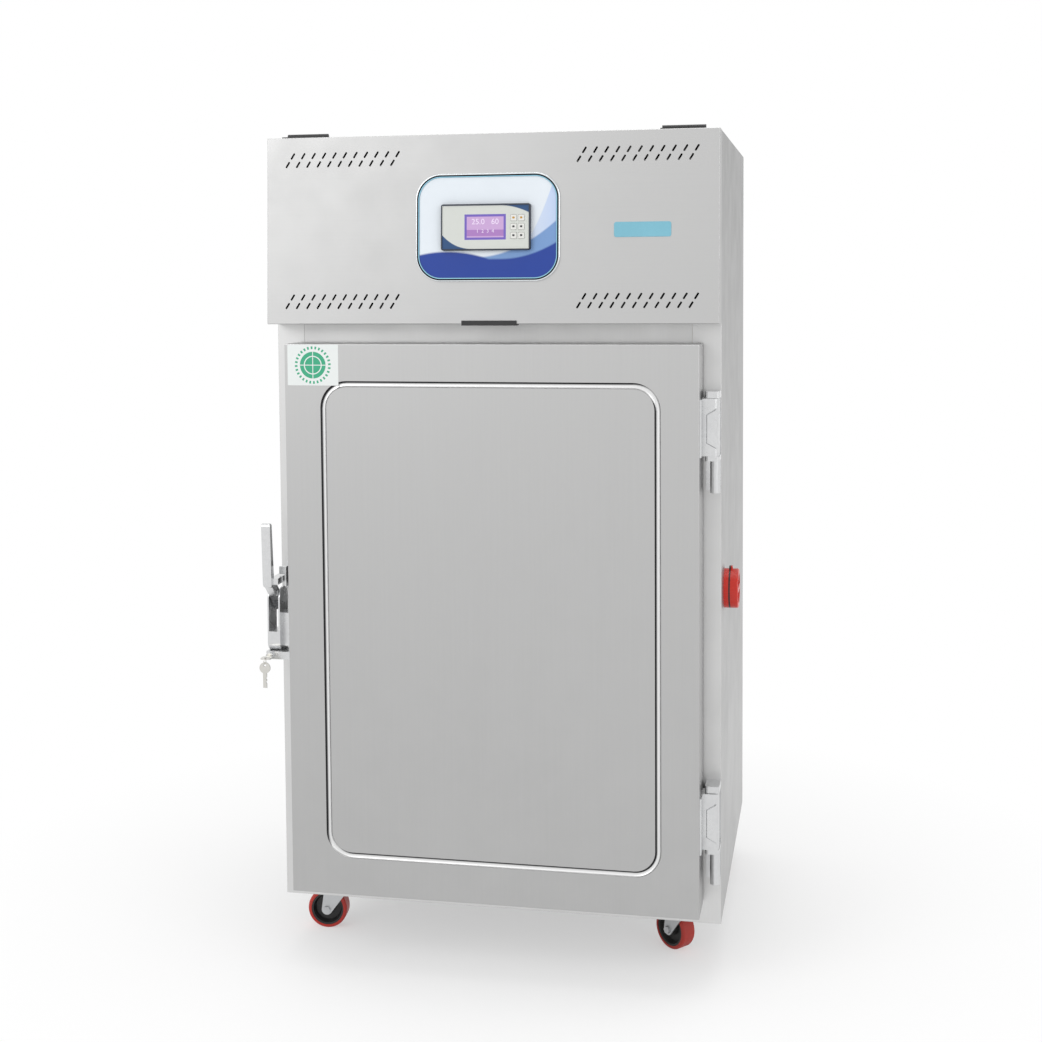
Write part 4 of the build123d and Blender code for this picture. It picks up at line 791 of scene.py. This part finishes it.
# Pale floor with the object's shadow near it. Camera, gloss and transmission rays see it fade to
# plain white: the share of white is a straight slope of the distance from the object's middle.
def makeFloor():
    material = bpy.data.materials.new("paleFloor")
    material.use_nodes = True
    tree = material.node_tree
    shader = tree.nodes["Principled BSDF"]
    shader.inputs["Base Color"].default_value = floor["pale"]
    shader.inputs["Roughness"].default_value = floor["roughness"]
    shader.inputs["Specular IOR Level"].default_value = floor["specular"]
    white = tree.nodes.new("ShaderNodeEmission")
    white.inputs["Color"].default_value = rgb(1, 1, 1)
    place = tree.nodes.new("ShaderNodeTexCoord")
    reach = tree.nodes.new("ShaderNodeVectorMath")
    reach.operation = "LENGTH"
    tree.links.new(place.outputs["Object"], reach.inputs[0])
    fade = ramp(tree, reach.outputs["Value"], floor["near"], floor["far"])
    share = calc(tree, "MULTIPLY_ADD", fade, 1 - floor["white"], floor["white"])
    either = tree.nodes.new("ShaderNodeMixShader")
    tree.links.new(calc(tree, "MULTIPLY", share, seenRays(tree)), either.inputs[0])
    tree.links.new(shader.outputs[0], either.inputs[1])
    tree.links.new(white.outputs[0], either.inputs[2])
    tree.links.new(either.outputs[0], tree.nodes["Material Output"].inputs["Surface"])
    mesh = bpy.data.meshes.new("floor")
    side = floor["side"]
    corners = [(-side, -side, 0), (side, -side, 0), (side, side, 0), (-side, side, 0)]
    mesh.from_pydata(corners, [], [(0, 1, 2, 3)])
    mesh.materials.append(material)
    sheet = bpy.data.objects.new("floor", mesh)
    bpy.context.scene.collection.objects.link(sheet)


makeFloor()

# How strongly the surroundings light the object
daylight = 0.7


# White to camera, gloss and transmission rays; a plain level of light for the rest.
def makeWorld():
    world = bpy.data.worlds.new("studio")
    bpy.context.scene.world = world
    world.use_nodes = True
    tree = world.node_tree
    tree.nodes.clear()
    plain = tree.nodes.new("ShaderNodeBackground")
    bright = tree.nodes.new("ShaderNodeBackground")
    for light, strength in ((plain, daylight), (bright, 1.0)):
        light.inputs["Color"].default_value = rgb(1, 1, 1)
        light.inputs["Strength"].default_value = strength
    either = tree.nodes.new("ShaderNodeMixShader")
    tree.links.new(seenRays(tree), either.inputs[0])
    tree.links.new(plain.outputs[0], either.inputs[1])
    tree.links.new(bright.outputs[0], either.inputs[2])
    end = tree.nodes.new("ShaderNodeOutputWorld")
    tree.links.new(either.outputs[0], end.inputs["Surface"])


makeWorld()

# Soft boxes: place, aim, size in metres, power in watts
softBoxes = {
    "key": dict(place=(-2.6, -3.4, 3.0), aim=(0, -0.3, 0.9), size=2.4, power=62),
    "fill": dict(place=(3.2, -2.6, 2.2), aim=(0, -0.2, 0.7), size=2.4, power=34),
    "top": dict(place=(0.2, 0.2, 4.0), aim=(0, 0, 0), size=2.6, power=42),
}
for name, values in softBoxes.items():
    lamp = bpy.data.lights.new(name, "AREA")
    lamp.size = values["size"]
    lamp.energy = values["power"]
    holder = bpy.data.objects.new(name, lamp)
    holder.location = values["place"]
    toward = Vector(values["aim"]) - Vector(values["place"])
    holder.rotation_euler = toward.to_track_quat("-Z", "Y").to_euler()
    bpy.context.scene.collection.objects.link(holder)

view = dict(
    place=(0.5818, -2.9929, 1.2426), yaw=-0.197, pitch=0.062, roll=-0.007,
    lens=54.30, sensor=36.0, shiftUp=-0.1421,
)


# Looks forward along yaw and pitch; roll turns it about its own line of sight.
def makeCamera():
    yaw, pitch, roll = view["yaw"], view["pitch"], view["roll"]
    forward = Vector((
        math.sin(yaw) * math.cos(pitch), math.cos(yaw) * math.cos(pitch), -math.sin(pitch),
    ))
    right = Vector((math.cos(yaw), -math.sin(yaw), 0))
    up = right.cross(forward)
    turnedRight = right * math.cos(roll) + up * math.sin(roll)
    turnedUp = up * math.cos(roll) - right * math.sin(roll)
    camera = bpy.data.cameras.new("camera")
    camera.lens = view["lens"]
    camera.sensor_width = view["sensor"]
    camera.shift_y = view["shiftUp"]
    camera.clip_end = 100
    holder = bpy.data.objects.new("camera", camera)
    turn = Matrix((turnedRight, turnedUp, -forward)).transposed()
    holder.matrix_world = Matrix.Translation(view["place"]) @ turn.to_4x4()
    bpy.context.scene.collection.objects.link(holder)
    bpy.context.scene.camera = holder


makeCamera()
bpy.context.scene.view_settings.view_transform = "Standard"
print("stage and camera set")
